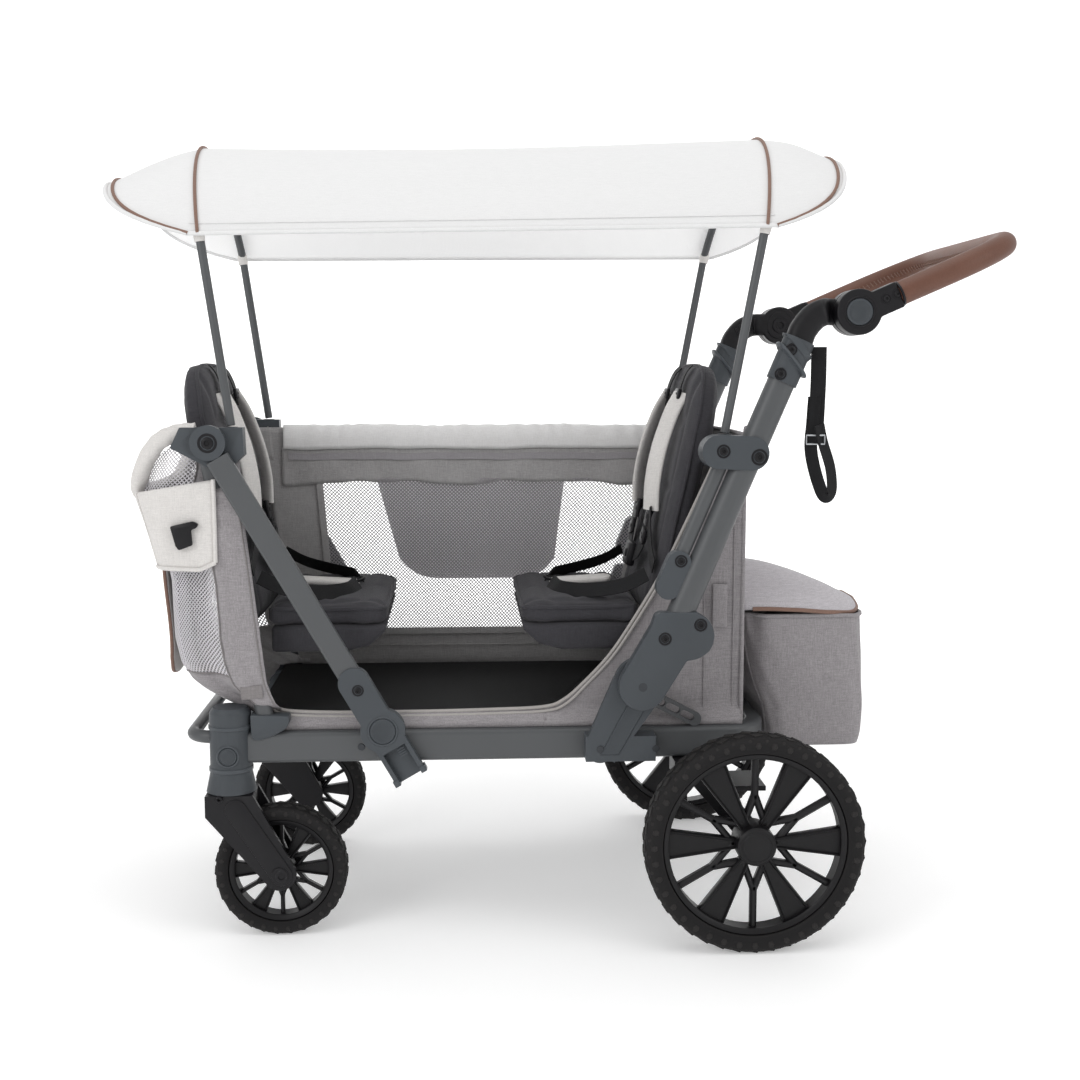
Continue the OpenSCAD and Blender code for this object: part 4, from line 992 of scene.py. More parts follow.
@dataclass
class Fasteners:
    """Screw heads, pads, ribs, rings and shells on the frame's joints, on both sides."""

    screws: tuple[tuple[str, str, tuple[tuple[float, ...], ...]], ...] = (
        ("front_frame_screws", "front_frame",
         ((-0.481, 0.696, 0.225, 0.0085), (-0.2835, 0.354, 0.227, 0.0052))),
        ("push_frame_screws", "push_frame",
         ((0.138, 0.429, 0.2645, 0.0058), (0.1868, 0.4478, 0.2645, 0.0058), (0.215, 0.685, 0.2645, 0.006),
          (0.264, 0.677, 0.2645, 0.0072), (0.160, 0.535, 0.257, 0.0056), (0.2905, 0.789, 0.2655, 0.0052),
          (0.3045, 0.8215, 0.2655, 0.0052))),
        ("handle_screws", "handle", ((0.433, 0.8895, 0.263, 0.0044), (0.448, 0.896, 0.263, 0.0044))))
    pad_top: Pair = (-0.4545, 0.187)
    axle: Pair = (-0.393, 0.092)
    pad_r: float = 0.0152
    catch: Pair = (-0.250, 0.296)
    catch_lean: float = 30.0
    facet: Line = ((0.052, 0.262), (0.078, 0.262), (0.116, 0.330), (0.092, 0.338))
    pivot: Pair = (0.108, 0.362)
    pivot_r: float = 0.033
    lobe: Line = ((0.1685, 0.3975), (0.186, 0.4015), (0.2015, 0.414), (0.2062, 0.434), (0.1985, 0.4535),
                  (0.181, 0.4655))
    lobe_top: Line = ((0.131, 0.4655), (0.1245, 0.462), (0.1192, 0.4465))
    cup_top: Line = ((-0.4345, 0.3178), (-0.3805, 0.3160))
    cup: Line = ((-0.3805, 0.306), (-0.386, 0.2975), (-0.397, 0.2905), (-0.411, 0.2845), (-0.4225, 0.2815),
                 (-0.4305, 0.2825), (-0.4335, 0.289))
    head_at: Pair = (-0.464, -0.195)
    head_r: float = 0.029
    collar: Triple = (0.3196, -0.247, 0.8349)
    collar_up: Triple = (0.3907, 0, 0.9205)

    def build(self) -> None:
        """Makes the fasteners of each body."""
        for name, body, heads in self.screws:
            self._screws(name, body, heads)
        for side in Side:
            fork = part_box(f"caster_fork_{side.word}")
            self._fork(side, max(abs(corner.y) for corner in fork) - 0.0030)
        self._ribs()
        self._rings()
        self._shells()

    def _screws(self, name: str, body: str, heads: Sequence[Sequence[float]]) -> None:
        """Makes domed heads with a socket.

        Args:
            name: Name of the piece.
            body: Body that carries them.
            heads: X, Z, distance from the middle and radius of each.
        """
        form = Form()
        for x, z, y, r in heads:
            place = Side.LEFT.face(y, x, z)
            form.lathe([(0.0, 0.0006), (r * 0.4, 0.0006), (r * 0.46, 0.0021), (r * 0.74, 0.0019),
                        (r * 0.94, 0.0012), (r, 0.0), (r, -0.0008)], place, 20)
            form.lathe([(r * 1.12, -0.0006), (r * 1.2, 0.0007), (r * 1.5, 0.0007), (r * 1.62, -0.0006)],
                       place, 28)
        form.both().done(name, BLACK_PLASTIC, body, angle=CRISP)

    def _fork(self, side: Side, y: float) -> None:
        """Makes a fork's bare pad, its screw and its bolt.

        Args:
            side: Side of the wagon.
            y: Distance of the pad's face from the middle.
        """
        form = Form()
        run = Vector(self.axle) - Vector(self.pad_top)
        pad = side.face(y - 0.0008, *Vector(self.pad_top)) @ spin(atan2(run.y, run.x))
        ends = [(at, pi * (k / 14 + turn)) for at,
                turn in ((0.0, 0.5), (run.length, -0.5)) for k in range(15)]
        form.plate([(at + self.pad_r * cos(a), self.pad_r * sin(a)) for at, a in ends], 0.0022, pad, 0.0007)
        for x, z, r in ((-0.4765, 0.2035, 0.0048), (*self.axle, 0.0095)):
            form.lathe([(0.0, 0.001), (r * 0.45, 0.001), (r * 0.52, 0.0046), (r * 0.86, 0.0042), (r, 0.003),
                        (r, 0.0)], side.face(y, x, z), 24)
        form.done(f"caster_fork_trim_{side.word}", BLACK_PLASTIC, f"caster_{side.word}", angle=CRISP)

    def _ribs(self) -> None:
        """Makes the ribs on the struts' catches and the facets on the fold links."""
        form = Form()
        lean = radians(self.catch_lean)
        down = Vector((sin(lean), -cos(lean)))
        lug, rib = (0.0085, 0.009, 0.018), (0.011, 0.0014, 0.0016)
        rows = [(0.0545, 0.0, (0.036, 0.047, 0.003), 0.2132), (0.0745, 0.021, lug, 0.2193),
                (0.0745, -0.021, lug, 0.2193)]
        rows += [(0.0335 + k * 0.0034, 0.009, rib, 0.2271) for k in range(4)]
        for reach, aside, size, y in rows:
            at = Vector(self.catch) + down * reach + Vector((-down.y, down.x)) * aside
            form.block(size, Side.LEFT.face(y, at.x, at.y) @ spin(lean), 0.0005)
        form.both().done("strut_catch_ribs", JOINT_PLASTIC, "front_frame", angle=CRISP)
        facet = Form()
        facet.plate(self.facet, 0.0016, Side.LEFT.face(0.2408), 0.0012, (0.005, 0.0012))
        facet.both().done("fold_link_facets", JOINT_PLASTIC, angle=CRISP)

    def _shells(self) -> None:
        """Makes the round-lobed lower brackets that carry the push tubes, and the uprights' round cups."""
        turns = [radians(150 + 12 * k) for k in range(16)]
        outline = [(self.pivot[0] + self.pivot_r * cos(a), self.pivot[1] + self.pivot_r * sin(a))
                   for a in turns]
        form = Form()
        form.plate([*outline, *spline(self.lobe, 6), *self.lobe_top], 0.0212, Side.LEFT.face(0.2432), 0.0024)
        form.both().done("rear_lower_bracket_plates", JOINT_PLASTIC, "push_frame", ["rear_lower_brackets"],
                         34.0)
        cup = Form()
        cup.plate([*self.cup_top, *spline(self.cup, 5)], 0.0262, Side.LEFT.face(0.186), 0.0026)
        cup.both().done("upright_cup_shells", JOINT_PLASTIC, CHASSIS, ["upright_cups"], 34.0)

    def _rings(self) -> None:
        """Makes the stepped rings of the caster heads and the slanted collars' flanges."""
        form = Form()
        r = self.head_r
        for z, grow, tall in ((0.240, 0.0016, 0.004), (0.300, 0.0014, 0.0034)):
            form.lathe([(r - 0.001, -tall), (r + grow, -tall * 0.6), (r + grow, tall * 0.6),
                        (r - 0.001, tall)], shift((*self.head_at, z)), 48)
        form.both().done("caster_head_rings", JOINT_PLASTIC, angle=CRISP)
        flange = Form()
        up = Vector(self.collar_up)
        out = Vector((up.z, 0, -up.x))
        middle = Vector(self.collar) - up * 0.030
        ring = [(swollen(cos(a), 0.7), swollen(sin(a), 0.7)) for a in (2 * pi * k / 48 for k in range(48))]
        flange.sweep([middle + out * (0.0238 * c) + Vector((0, 0.0188 * s, 0)) - up * (0.013 * c) for c,
                      s in ring], flat_section(0.0078, 0.0042), up[:], True)
        flange.both().done("collar_flanges", JOINT_PLASTIC, "push_frame", (), 40.0)


@dataclass
class Canopy:
    """Stretched roof cloth with two visors, seam piping, a hem and pole tabs."""

    front_hem: Pair = (-0.4893, 0.976)
    rear_hem: Pair = (0.2716, 0.986)
    half: Pair = (0.208, 0.254)
    rise: Pair = (0.1408, 0.1498)
    lean: Pair = (-8.0, 10.5)
    reach: Pair = (-0.123, 0.107)
    drop: Pair = (0.058, 0.034)
    tab_y: Pair = (0.196, 0.242)
    hem_reach: float = 0.014
    bulge: float = 0.008
    sag: float = 0.005
    front_share: float = 0.14
    rear_share: float = 0.86
    thick: float = 0.0016
    piping_r: float = 0.0023
    rim_r: float = 0.0032
    steps: int = 60

    def build(self) -> None:
        """Makes the roof, its piping, its hem and its tabs."""
        # The roof's lining glows with painted light
        roof = Form().grid(120, 84, self.point).lined("canopy_cloth", CANOPY_CLOTH, CANOPY_LINING, self.thick,
                                                      ["canopy_roof"], "canopy")
        trims = [self._piping(), self._rims(), self._hems(), self._tabs()]

    def _arch(self, end: int, t: float) -> Vector:
        """Point of the arch over a bow.

        Args:
            end: 0 at the front bow, 1 at the rear one.
            t: -1 at the left hem, 1 at the right one.

        Returns:
            The point.
        """
        half, rise = self.half[end], self.rise[end]
        hem = (self.front_hem, self.rear_hem)[end]
        r = (half * half + rise * rise) / (2 * rise)
        a = t * acos((r - rise) / r)
        h = r * cos(a) - r + rise
        return Vector((hem[0] + h * tan(radians(self.lean[end])), r * sin(a), hem[1] + h))

    def _rim(self, end: int, t: float) -> Vector:
        """Point of a visor's rim.

        Args:
            end: 0 at the front, 1 at the rear.
            t: -1 at the left hem, 1 at the right one.

        Returns:
            The point.
        """
        p = self._arch(end, t)
        hem = (self.front_hem, self.rear_hem)[end]
        c = cos(pi / 2 * t)
        out, full = self.reach[end], 1 - (1 - c) ** 6
        p.x += copysign(self.hem_reach, out) * (1 - full) + out * full
        p.z -= self.drop[end] * c * (p.z - hem[1]) / self.rise[end]
        return p

    def point(self, u: float, v: float) -> Vector:
        """Place on the cloth.

        Args:
            u: Share of the length, front rim to rear rim.
            v: Share of the width, left hem to right hem.

        Returns:
            The point.
        """
        t = 2 * v - 1
        if u < self.front_share or u > self.rear_share:
            end = 0 if u < self.front_share else 1
            s = (self.front_share
                 - u) / self.front_share if end == 0 else (u - self.rear_share) / (1 - self.rear_share)
            p = self._arch(end, t).lerp(self._rim(end, t), s)
            p.z += self.bulge * sin(pi * s) * cos(pi / 2 * t)
            p.z += 0.0016 * ripple(t * 1.4, s, 2.0 + end) * sin(pi * min(1.0, s * 1.2)) * (1 - t * t)
            return p
        s = (u - self.front_share) / (self.rear_share - self.front_share)
        p = self._arch(0, t).lerp(self._arch(1, t), s)
        hold = sin(pi * s)
        p.z -= self.sag * hold * cos(pi / 2 * t)
        side = min(1.0, abs(t) * 1.6) * (1 - abs(t) ** 6)
        p.y -= copysign(0.0042, t) * hold * side * (0.6 + 0.9 * ripple(t * 0.9, s * 1.3, 1.2))
        p.z += 0.0024 * hold * ripple(t * 1.1, s * 0.9, 5.4) * (1 - abs(t) ** 4)
        return p

    def _line(self, u: float, lift: float) -> list[Vector]:
        """Line across the cloth.

        Args:
            u: Share of the cloth's length.
            lift: Distance of the line from the cloth.

        Returns:
            Points along the line.
        """
        line = []
        for v in shares(self.steps):
            p = self.point(u, v)
            away = Vector((0, p.y, (p.z - 0.9) * 1.2)).normalized()
            line.append(p + away * lift)
        return line

    def _piping(self) -> Piece:
        """Brown piping at both bows and inside both rims.

        Returns:
            The piece.
        """
        form = Form()
        for u, lift in ((self.front_share, 0.0016), (self.rear_share, 0.0016), (0.012, 0.0014),
                        (0.988, 0.0014)):
            form.tube(self._line(u, lift), self.piping_r)
        return form.done("canopy_piping", PIPING, "canopy")

    def _rims(self) -> Piece:
        """Rolled white edges of the visors.

        Returns:
            The piece.
        """
        form = Form()
        for u in (0.0, 1.0):
            form.tube(self._line(u, 0.0), self.rim_r, 10)
        return form.done("canopy_rims", CANOPY_CLOTH, "canopy")

    def _hems(self) -> Piece:
        """Doubled hem along both sides with its seam.

        Returns:
            The piece.
        """
        form = Form()
        for edge, inner, out in ((0.0, 0.028, -0.0012), (1.0, 0.972, 0.0012)):
            form.sweep([self.point(u, edge) for u in shares(self.steps)], flat_section(0.0046, 0.006))
            form.tube([self.point(u, inner) + Vector((0, out, 0)) for u in shares(self.steps)[7:54]], 0.0007,
                      6)
        return form.done("canopy_hems", CANOPY_CLOTH, "canopy")

    def _tabs(self) -> Piece:
        """Light loops that hold the hem to the pole tops.

        Returns:
            The piece.
        """
        form = Form()
        for hem, y, lean in zip((self.front_hem, self.rear_hem), self.tab_y, self.lean):
            place = shift((hem[0], -y, hem[1] - 0.004)) @ spin(radians(lean), "Y")
            form.lathe([(0.0062, -0.006), (0.0072, -0.006), (0.0076, 0.0), (0.0076, 0.009), (0.0062, 0.010)],
                       place, 24)
        return form.both().done("canopy_tabs", LIGHT_CLOTH, "canopy")


def ease(t: float) -> float:
    """Smooth step from 0 to 1."""
    t = min(1.0, max(0.0, t))
    return t * t * (3 - 2 * t)


def along(table: Sequence[Pair], z: float) -> float:
    """Value at a height, from a table of heights and values.

    Args:
        table: Rising heights with their values.
        z: The height.

    Returns:
        The value, linear between two rows.
    """
    if z <= table[0][0]:
        return table[0][1]
    for (z0, a), (z1, b) in zip(table, table[1:]):
        if z <= z1:
            return a + (b - a) * (z - z0) / (z1 - z0)
    return table[-1][1]


def across(edges: Sequence[Sequence[Pair]], u: float, z: float) -> float:
    """Place along the wagon at a share of the way from a front to a rear edge and a height."""
    return along(edges[0], z) * (1 - u) + along(edges[1], z) * u


@dataclass
class Net:
    """Knitted net of diamond holes."""

    cell: float = 0.0041
    thread: float = 0.0014
    thick: float = 0.0006
    cover: float = 0.62

    def piece(self, name: str, size: Pair, at: Surface, finish: Finish, replaces: Sequence[str] = (),
              off: Callable[[float, float], bool] = lambda u, v: False) -> Piece:
        """Knits a field, bends it to a surface and gives its threads a thickness.

        Args:
            name: Name of the piece.
            size: Width and height of the flat field.
            at: Place of each pair of shares from 0 to 1.
            finish: Finish of the threads.
            replaces: Frame nodes that it stands for.
            off: Whether a pair of shares is cut away.

        Returns:
            The piece.
        """
        form = Form()
        bm = form.bm
        w, h = size
        n = ceil((w + h) / sqrt(2) / self.cell) + 1
        bmesh.ops.create_grid(bm, x_segments=n, y_segments=n, size=n * self.cell / 2,
                              matrix=shift((w / 2, h / 2, 0)) @ spin(pi / 4))
        for spot, away in (((0, 0, 0), (-1, 0, 0)), ((w, 0, 0), (1, 0, 0)), ((0, 0, 0), (0, -1, 0)),
                           ((0, h, 0), (0, 1, 0))):
            bmesh.ops.bisect_plane(bm, geom=bm.verts[:] + bm.edges[:] + bm.faces[:], dist=1e-6, plane_co=spot,
                                   plane_no=away, clear_outer=True)
        holes = [f for f in bm.faces if f.calc_area() > 0.45 * self.cell ** 2]
        bmesh.ops.inset_individual(bm, faces=holes, thickness=self.thread / 2, use_even_offset=True)
        bmesh.ops.delete(bm, geom=holes, context="FACES_ONLY")
        bmesh.ops.delete(bm, geom=[v for v in bm.verts if off(v.co.x / w, v.co.y / h)], context="VERTS")
        for v in bm.verts:
            v.co = at(v.co.x / w, v.co.y / h)
        made = form.done(name, finish, CHASSIS, replaces, SOFT, False)
        wall = made.modifiers.new("thread", "SOLIDIFY")
        wall.thickness = self.thick
        wall.offset = 0.0
        return made


@dataclass
class Tub:
    """Cloth tub: far wall with its net window, panels round the near opening, front corners and rear wall."""

    wall: float = 0.182
    low: float = 0.3125
    foot: float = 0.2925
    cover: float = 0.0285
    top: float = 0.704
    rear: float = 0.2605
    sill: float = 0.366
    head: float = 0.620
    turn: float = 0.045
    field_low: float = 0.372
    strip_at: float = 2.35
    front_at: float = 0.8
    cloth: float = 0.0016
    nose: Line = ((0.3125, -0.440), (0.320, -0.462), (0.330, -0.483), (0.345, -0.508), (0.360, -0.526),
                  (0.385, -0.540), (0.42, -0.547), (0.50, -0.549), (0.56, -0.560), (0.60, -0.576),
                  (0.63, -0.586), (0.705, -0.572))
    mouth_front: Line = ((0.3125, -0.390), (0.345, -0.404), (0.366, -0.411), (0.705, -0.449))
    mouth_rear: Line = ((0.318, -0.024), (0.328, 0.005), (0.352, 0.033), (0.393, 0.071), (0.447, 0.107),
                        (0.508, 0.143), (0.576, 0.176), (0.658, 0.214), (0.705, 0.216))
    window: tuple[Line, Line] = (((0.366, -0.351), (0.620, -0.371)), ((0.366, 0.119), (0.620, 0.161)))
    pocket: tuple[Line, Line] = (((0.452, -0.232), (0.613, -0.276)), ((0.452, 0.012), (0.613, 0.032)))
    pocket_z: Pair = (0.452, 0.618)
    crest: Line = ((0.0, 0.622), (1.0, 0.634), (1.5, 0.668), (2.0, 0.700), (3.0, 0.706))
    net_top: float = 0.70
    band: Line = ((0.1735, 0.669), (0.1725, 0.688), (0.176, 0.703), (0.182, 0.7085), (0.188, 0.703),
                  (0.1905, 0.688), (0.1895, 0.676))
    lower_hem: Line = ((-0.409, 0.331), (-0.398, 0.3205), (-0.372, 0.316), (-0.30, 0.3135), (-0.20, 0.3135),
                       (-0.10, 0.315))

    def build(self) -> None:
        """Makes the walls."""
        crush(*self._far(), *self._front(), *self._near(), self._back())

    def _span(self, form: Form, edges: tuple[Sequence[Pair], Sequence[Pair]], heights: Pair,
              steps: tuple[int, int], y: float, depth: float, seed: float) -> None:
        """Adds a side panel between two edges.

        Args:
            form: The form to add to.
            edges: Tables of the front and the rear edge.
            heights: Lowest and highest height.
            steps: Faces along and up.
            y: Depth of the panel.
            depth: Height of its folds.
            seed: Pattern of its folds.
        """
        def at(u: float, v: float) -> Vector:
            """Place on the panel.

            Args:
                u: First share.
                v: Second share.

            Returns:
                The point.
            """
            z = heights[0] + (heights[1] - heights[0]) * v
            x = across(edges, u, z)
            out = 0.0135 * (1 - ease((z - self.foot) / 0.026))
            fold = depth * ease((z - 0.30) / 0.05) * ripple(x * 1.8, z * 2.2, seed)
            return Vector((x, copysign(abs(y) + out, y) + fold, z))

        form.grid(*steps, at)

    def _far(self) -> list[Piece]:
        """Far wall: end panels, lower band, net window, pocket, zip band, light top band and seams.

        Returns:
            The pieces.
        """
        form = Form()
        lap = tuple((z, x - 0.014) for z, x in self.mouth_front)
        for edges, top, steps in (((lap, self.window[0]), self.top, (12, 40)),
                                  ((self.window[1], ((0.0, self.rear),)), self.top, (16, 40)),
                                  (self.window, self.sill, (60, 8))):
            self._span(form, edges, (self.foot, top), steps, self.wall, 0.0014, 0.4)
        wall = form.lined("far_wall", INNER_CLOTH, OUTER_CLOTH, self.cloth, ["side_wall_right"])

        def at(u: float, v: float) -> Vector:
            """Place on the window."""
            z = self.sill + (self.head - self.sill) * v
            return Vector((across(self.window, u, z), 0.1782 + 0.0012 * sin(pi * u) * sin(pi * v), z))

        net = Net().piece("window_net_knitted", (0.51, 0.254), at, NET_CLOTH, ["window_net"])
        hung = [self._pocket(), self._zip_band()]
        trims = [self._zip_tape(), self._binding()]
        return [wall, net, *hung, *trims, self._light_band()]

    def _pocket(self) -> Piece:
        """Slack pocket on the window, rounded at its lower corners.

        Returns:
            The piece.
        """
        def at(u: float, v: float) -> Vector:
            """Place on the pocket.

            Args:
                u: First share.
                v: Second share.

            Returns:
                The point.
            """
            low, high = self.pocket_z
            lift = 0.034 * abs(2 * u - 1) ** 7
            z = low + lift + (high - low - lift) * v
            return Vector((across(self.pocket, u, z), 0.1855 + 0.004 * sin(pi * u) * (1 - v), z))

        # Both faces use the paler, glowing copy of the net cloth: painted light
        bag = Form().grid(44, 26, at).lined("window_pocket", POCKET_CLOTH_PAINTED_LIGHT, POCKET_CLOTH_PAINTED_LIGHT, 0.0008)
        return bag

    def _zip_band(self) -> Piece:
        """Wavy band over the window's zip.

        Returns:
            The piece.
        """
        def at(u: float, v: float) -> Vector:
            """Place on the zip band.

            Args:
                u: First share.
                v: Second share.

            Returns:
                The point.
            """
            x = -0.431 + 0.629 * u
            low = 0.613 + 0.0055 * ripple(x * 2.6, 0.0, 1.7)
            return Vector((x, self.wall - 0.0052 - 0.0036 * (1 - v) * ripple(x * 4.4, v * 0.7, 2.2),
                           low + (0.672 - low) * v))

        band = Form().grid(110, 10, at).lined("window_zip_band", INNER_CLOTH, INNER_CLOTH, 0.0012)
        return band

    def _zip_tape(self) -> Piece:
        """Zip with its looped pull.

        Returns:
            The piece.
        """
        tape = Form()
        tape.sweep([Vector((-0.42 + 0.606 * k / 60, self.wall - 0.0068,
                            0.6565 + 0.0012 * ripple(k / 22, 0, 3.0)))
                    for k in range(61)], flat_section(0.011, 0.0012), (0, 1, 0))
        tape.tube(spline([(0.166, 0.1765, 0.628), (0.158, 0.1735, 0.612), (0.149, 0.1735, 0.602),
                          (0.152, 0.1735, 0.592), (0.161, 0.1735, 0.597), (0.170, 0.1765, 0.622)], 6), 0.0016)
        return tape.done("window_zip_tape", NET_CLOTH)

    def _binding(self) -> Piece:
        """Bound edges of the window and the seam below it.

        Returns:
            The piece.
        """
        edge = Form()
        front, rear = ([Vector((along(t, z), 0.1772, z)) for z in (self.sill, self.head)]
                       for t in self.window)
        for path in (front, rear, [front[0], rear[0]]):
            edge.sweep(path, flat_section(0.011, 0.0014), (0, 1, 0))
        edge.tube([Vector((x, 0.1785, 0.342)) for x in (-0.40, 0.25)], 0.0009, 6)
        return edge.done("window_binding", INNER_CLOTH)

    def _light_band(self) -> Piece:
        """Light puckered band folded over the far wall's top.

        Returns:
            The piece.
        """
        fold = spline(self.band, 3)
        last = len(fold) - 1

        def at(u: float, v: float) -> Vector:
            """Place on the band.

            Args:
                u: First share.
                v: Second share.

            Returns:
                The point.
            """
            p = fold[round(v * last)]
            x = -0.428 + 0.618 * u
            pucker = 0.0011 * sin(x * 190 + 2.0 * sin(x * 37)) * sin(pi * v)
            return Vector((x, p.x + pucker * (1 if v > 0.5 else -1),
                           p.y + 0.6 * pucker + 0.0016 * ripple(x * 2.4, v, 0.7)))

        # Its face is the paler copy of the light cloth: painted light on the shaded band
        band = Form().grid(170, last, at).lined("far_light_band", BAND_CLOTH_PAINTED_LIGHT, LIGHT_CLOTH, 0.0012)
        return band

    def corner(self, side: Side, t: float, z: float) -> Vector:
        """Place on the tub's front half.

        Args:
            side: Side of the wagon.
            t: 0 at the middle of the front, 1 and 2 at the rounded corner's ends, 3 at the opening's edge.
            z: Height.

        Returns:
            The point.
        """
        xf, xo = along(self.nose, z), along(self.mouth_front, z)
        r = min(self.turn, (xo - xf) * 0.6)
        if t < 1.0:
            x, y = xf, (self.wall - r) * t
        elif t < 2.0:
            a = (t - 1.0) * pi / 2
            x, y = xf + r * (1 - cos(a)), self.wall - r + r * sin(a)
        else:
            x = xf + r + (xo - xf - r) * (t - 2.0)
            over = ease((t - 2.0) / 0.45) * ease((z - 0.319) / 0.011) * ease((0.657 - z) / 0.03)
            y = self.wall + self.cover * over + 0.0011 * over * sin(z * 120 + 3 * sin(z * 31) + t * 2.0)
        puff = (0.0026 if t < 2.0 else 0.0012) * ripple(t * 0.8, z * 3.2, 1.1 + side.value)
        return Vector((x - (puff if t < 1.5 else 0.0), side.value * (y + (puff if t >= 1.0 else 0.0)), z))

    def _stretch(self, side: Side, ts: Pair, zs: Pair) -> Surface:
        """Surface of a stretch of the tub's front half, with its face outward.

        Args:
            side: Side of the wagon.
            ts: Ends of the stretch, as in corner.
            zs: Lowest and highest height.

        Returns:
            Place of each pair of shares from 0 to 1.
        """
        def at(u: float, v: float) -> Vector:
            """Place on the stretch."""
            way = u if side is Side.LEFT else 1 - u
            return self.corner(side, ts[0] + (ts[1] - ts[0]) * way, zs[0] + (zs[1] - zs[0]) * v)

        return at

    def _front(self) -> list[Piece]:
        """Front corners: cloth panels, net fields, seams and a fastening patch on each side.

        Returns:
            The pieces.
        """
        made = []
        start, end = self.front_at, self.strip_at
        for side in Side:
            near = side is Side.LEFT
            form = Form()
            for ts, zs, steps in (((0.0, start), (self.low, 0.618), (16, 40)),
                                  ((start, end), (self.low, self.field_low), (30, 12)),
                                  ((end, 3.0), (self.low, self.top), (12, 60))):
                form.grid(*steps, self._stretch(side, ts, zs))
            cloth = form.lined(f"front_corner_{side.word}", OUTER_CLOTH, INNER_CLOTH, self.cloth,
                               ["front_wall"] if near else ())

            def over(u: float, v: float) -> bool:
                """Whether a place is above the crest."""
                t = start + (end - start) * (u if near else 1 - u)
                return self.field_low + (self.net_top - self.field_low) * v > along(self.crest, t)

            bent = self._stretch(side, (start, end), (self.field_low, self.net_top))
            net = Net().piece(f"front_net_{side.word}", (0.13, 0.328), bent, LIGHT_NET, (), over)
            seam = Form()
            proud = Vector((0, side.value * 0.0008, 0))
            for t in (end, start, 2.94):
                tall = along(self.crest, t) - self.low
                seam.tube([self.corner(side, t, self.low + tall * k / 40) + proud for k in range(41)], 0.0011,
                          6)
            seam.tube([self.corner(side, start + (end - start) * k / 30, self.field_low) + proud
                       for k in range(31)], 0.0013, 6)
            patch = side.face(self.wall + self.cover + 0.0016, -0.431, 0.350) @ spin(0.1)
            seam.block((0.030, 0.018, 0.0014), patch, 0.0005)
            trim = seam.done(f"front_seams_{side.word}", SEAM_CLOTH)
            made += [cloth, net, trim]
        return made

    def _near(self) -> list[Piece]:
        """Near wall behind the opening, its sill, the light double hem, a seam and a tab.

        Returns:
            The pieces.
        """
        form = Form()
        self._span(form, (self.mouth_rear, ((0.0, self.rear),)), (self.foot, self.top), (26, 64), -self.wall,
                   0.0026, 2.4)
        self._span(form, (((0.0, -0.402),), ((0.0, -0.020),)), (self.foot, 0.316), (60, 3), -self.wall,
                   0.0016, 2.4)
        wall = form.lined("near_wall", OUTER_CLOTH, INNER_CLOTH, self.cloth, ["side_wall_left"])
        hem = Form()
        edge = [*self.lower_hem, *((x, z) for z, x in self.mouth_rear[:-1])]
        for y, lift, r in ((0.1828, 0.0, 0.0025), (0.1852, -0.0055, 0.0021)):
            line = [(x - lift * 0.6 * (x > -0.06), -y, z + lift * (0.6 if x > 0.02 else 1.0)) for x,
                    z in edge]
            hem.tube(spline(line), r, 10)
        # The hem's cloth is the darker copy of the light cloth: painted shade
        light = hem.done("opening_hem", HEM_CLOTH_PAINTED_SHADE)
        seam = Form()
        for x in (0.206, 0.2475):
            heights = [z for z in (0.30 + 0.40 * k / 40 for k in range(41))
                       if along(self.mouth_rear, z) < x - 0.004]
            seam.tube([Vector((x, -self.wall - 0.0012 + 0.0026 * ripple(x * 1.8, z * 2.2, 2.4), z))
                       for z in heights], 0.001, 6)
        seam.block((0.021, 0.062, 0.0036), Side.LEFT.face(self.wall + 0.004, 0.2275, 0.462), 0.0014)
        trim = seam.done("near_wall_seams", OUTER_CLOTH)
        return [wall, light, trim]

    def _back(self) -> Piece:
        """Rear wall with bound edges.

        Returns:
            The piece.
        """
        form = Form().grid(36, 36, lambda u, v: Vector((self.rear + 0.0012 * ripple(u * 1.2, v * 0.9, 3.3),
                                                        (2 * u - 1) * self.wall,
                                                        self.foot + (self.top - self.foot) * v)))
        wall = form.lined("tub_rear_wall", OUTER_CLOTH, INNER_CLOTH, self.cloth, ["rear_wall"])
        edge = Form()
        half = [(-self.wall, self.foot + 0.002), (-self.wall, 0.5), (-self.wall, 0.698),
                (-self.wall + 0.006, self.top)]
        bound = [*half, (0.0, self.top + 0.002), *((-y, z) for y, z in reversed(half))]
        edge.tube(spline([(self.rear, y, z) for y, z in bound], 10), 0.0032, 10)
        rim = edge.done("rear_wall_binding", OUTER_CLOTH)
        crush(rim)
        return wall


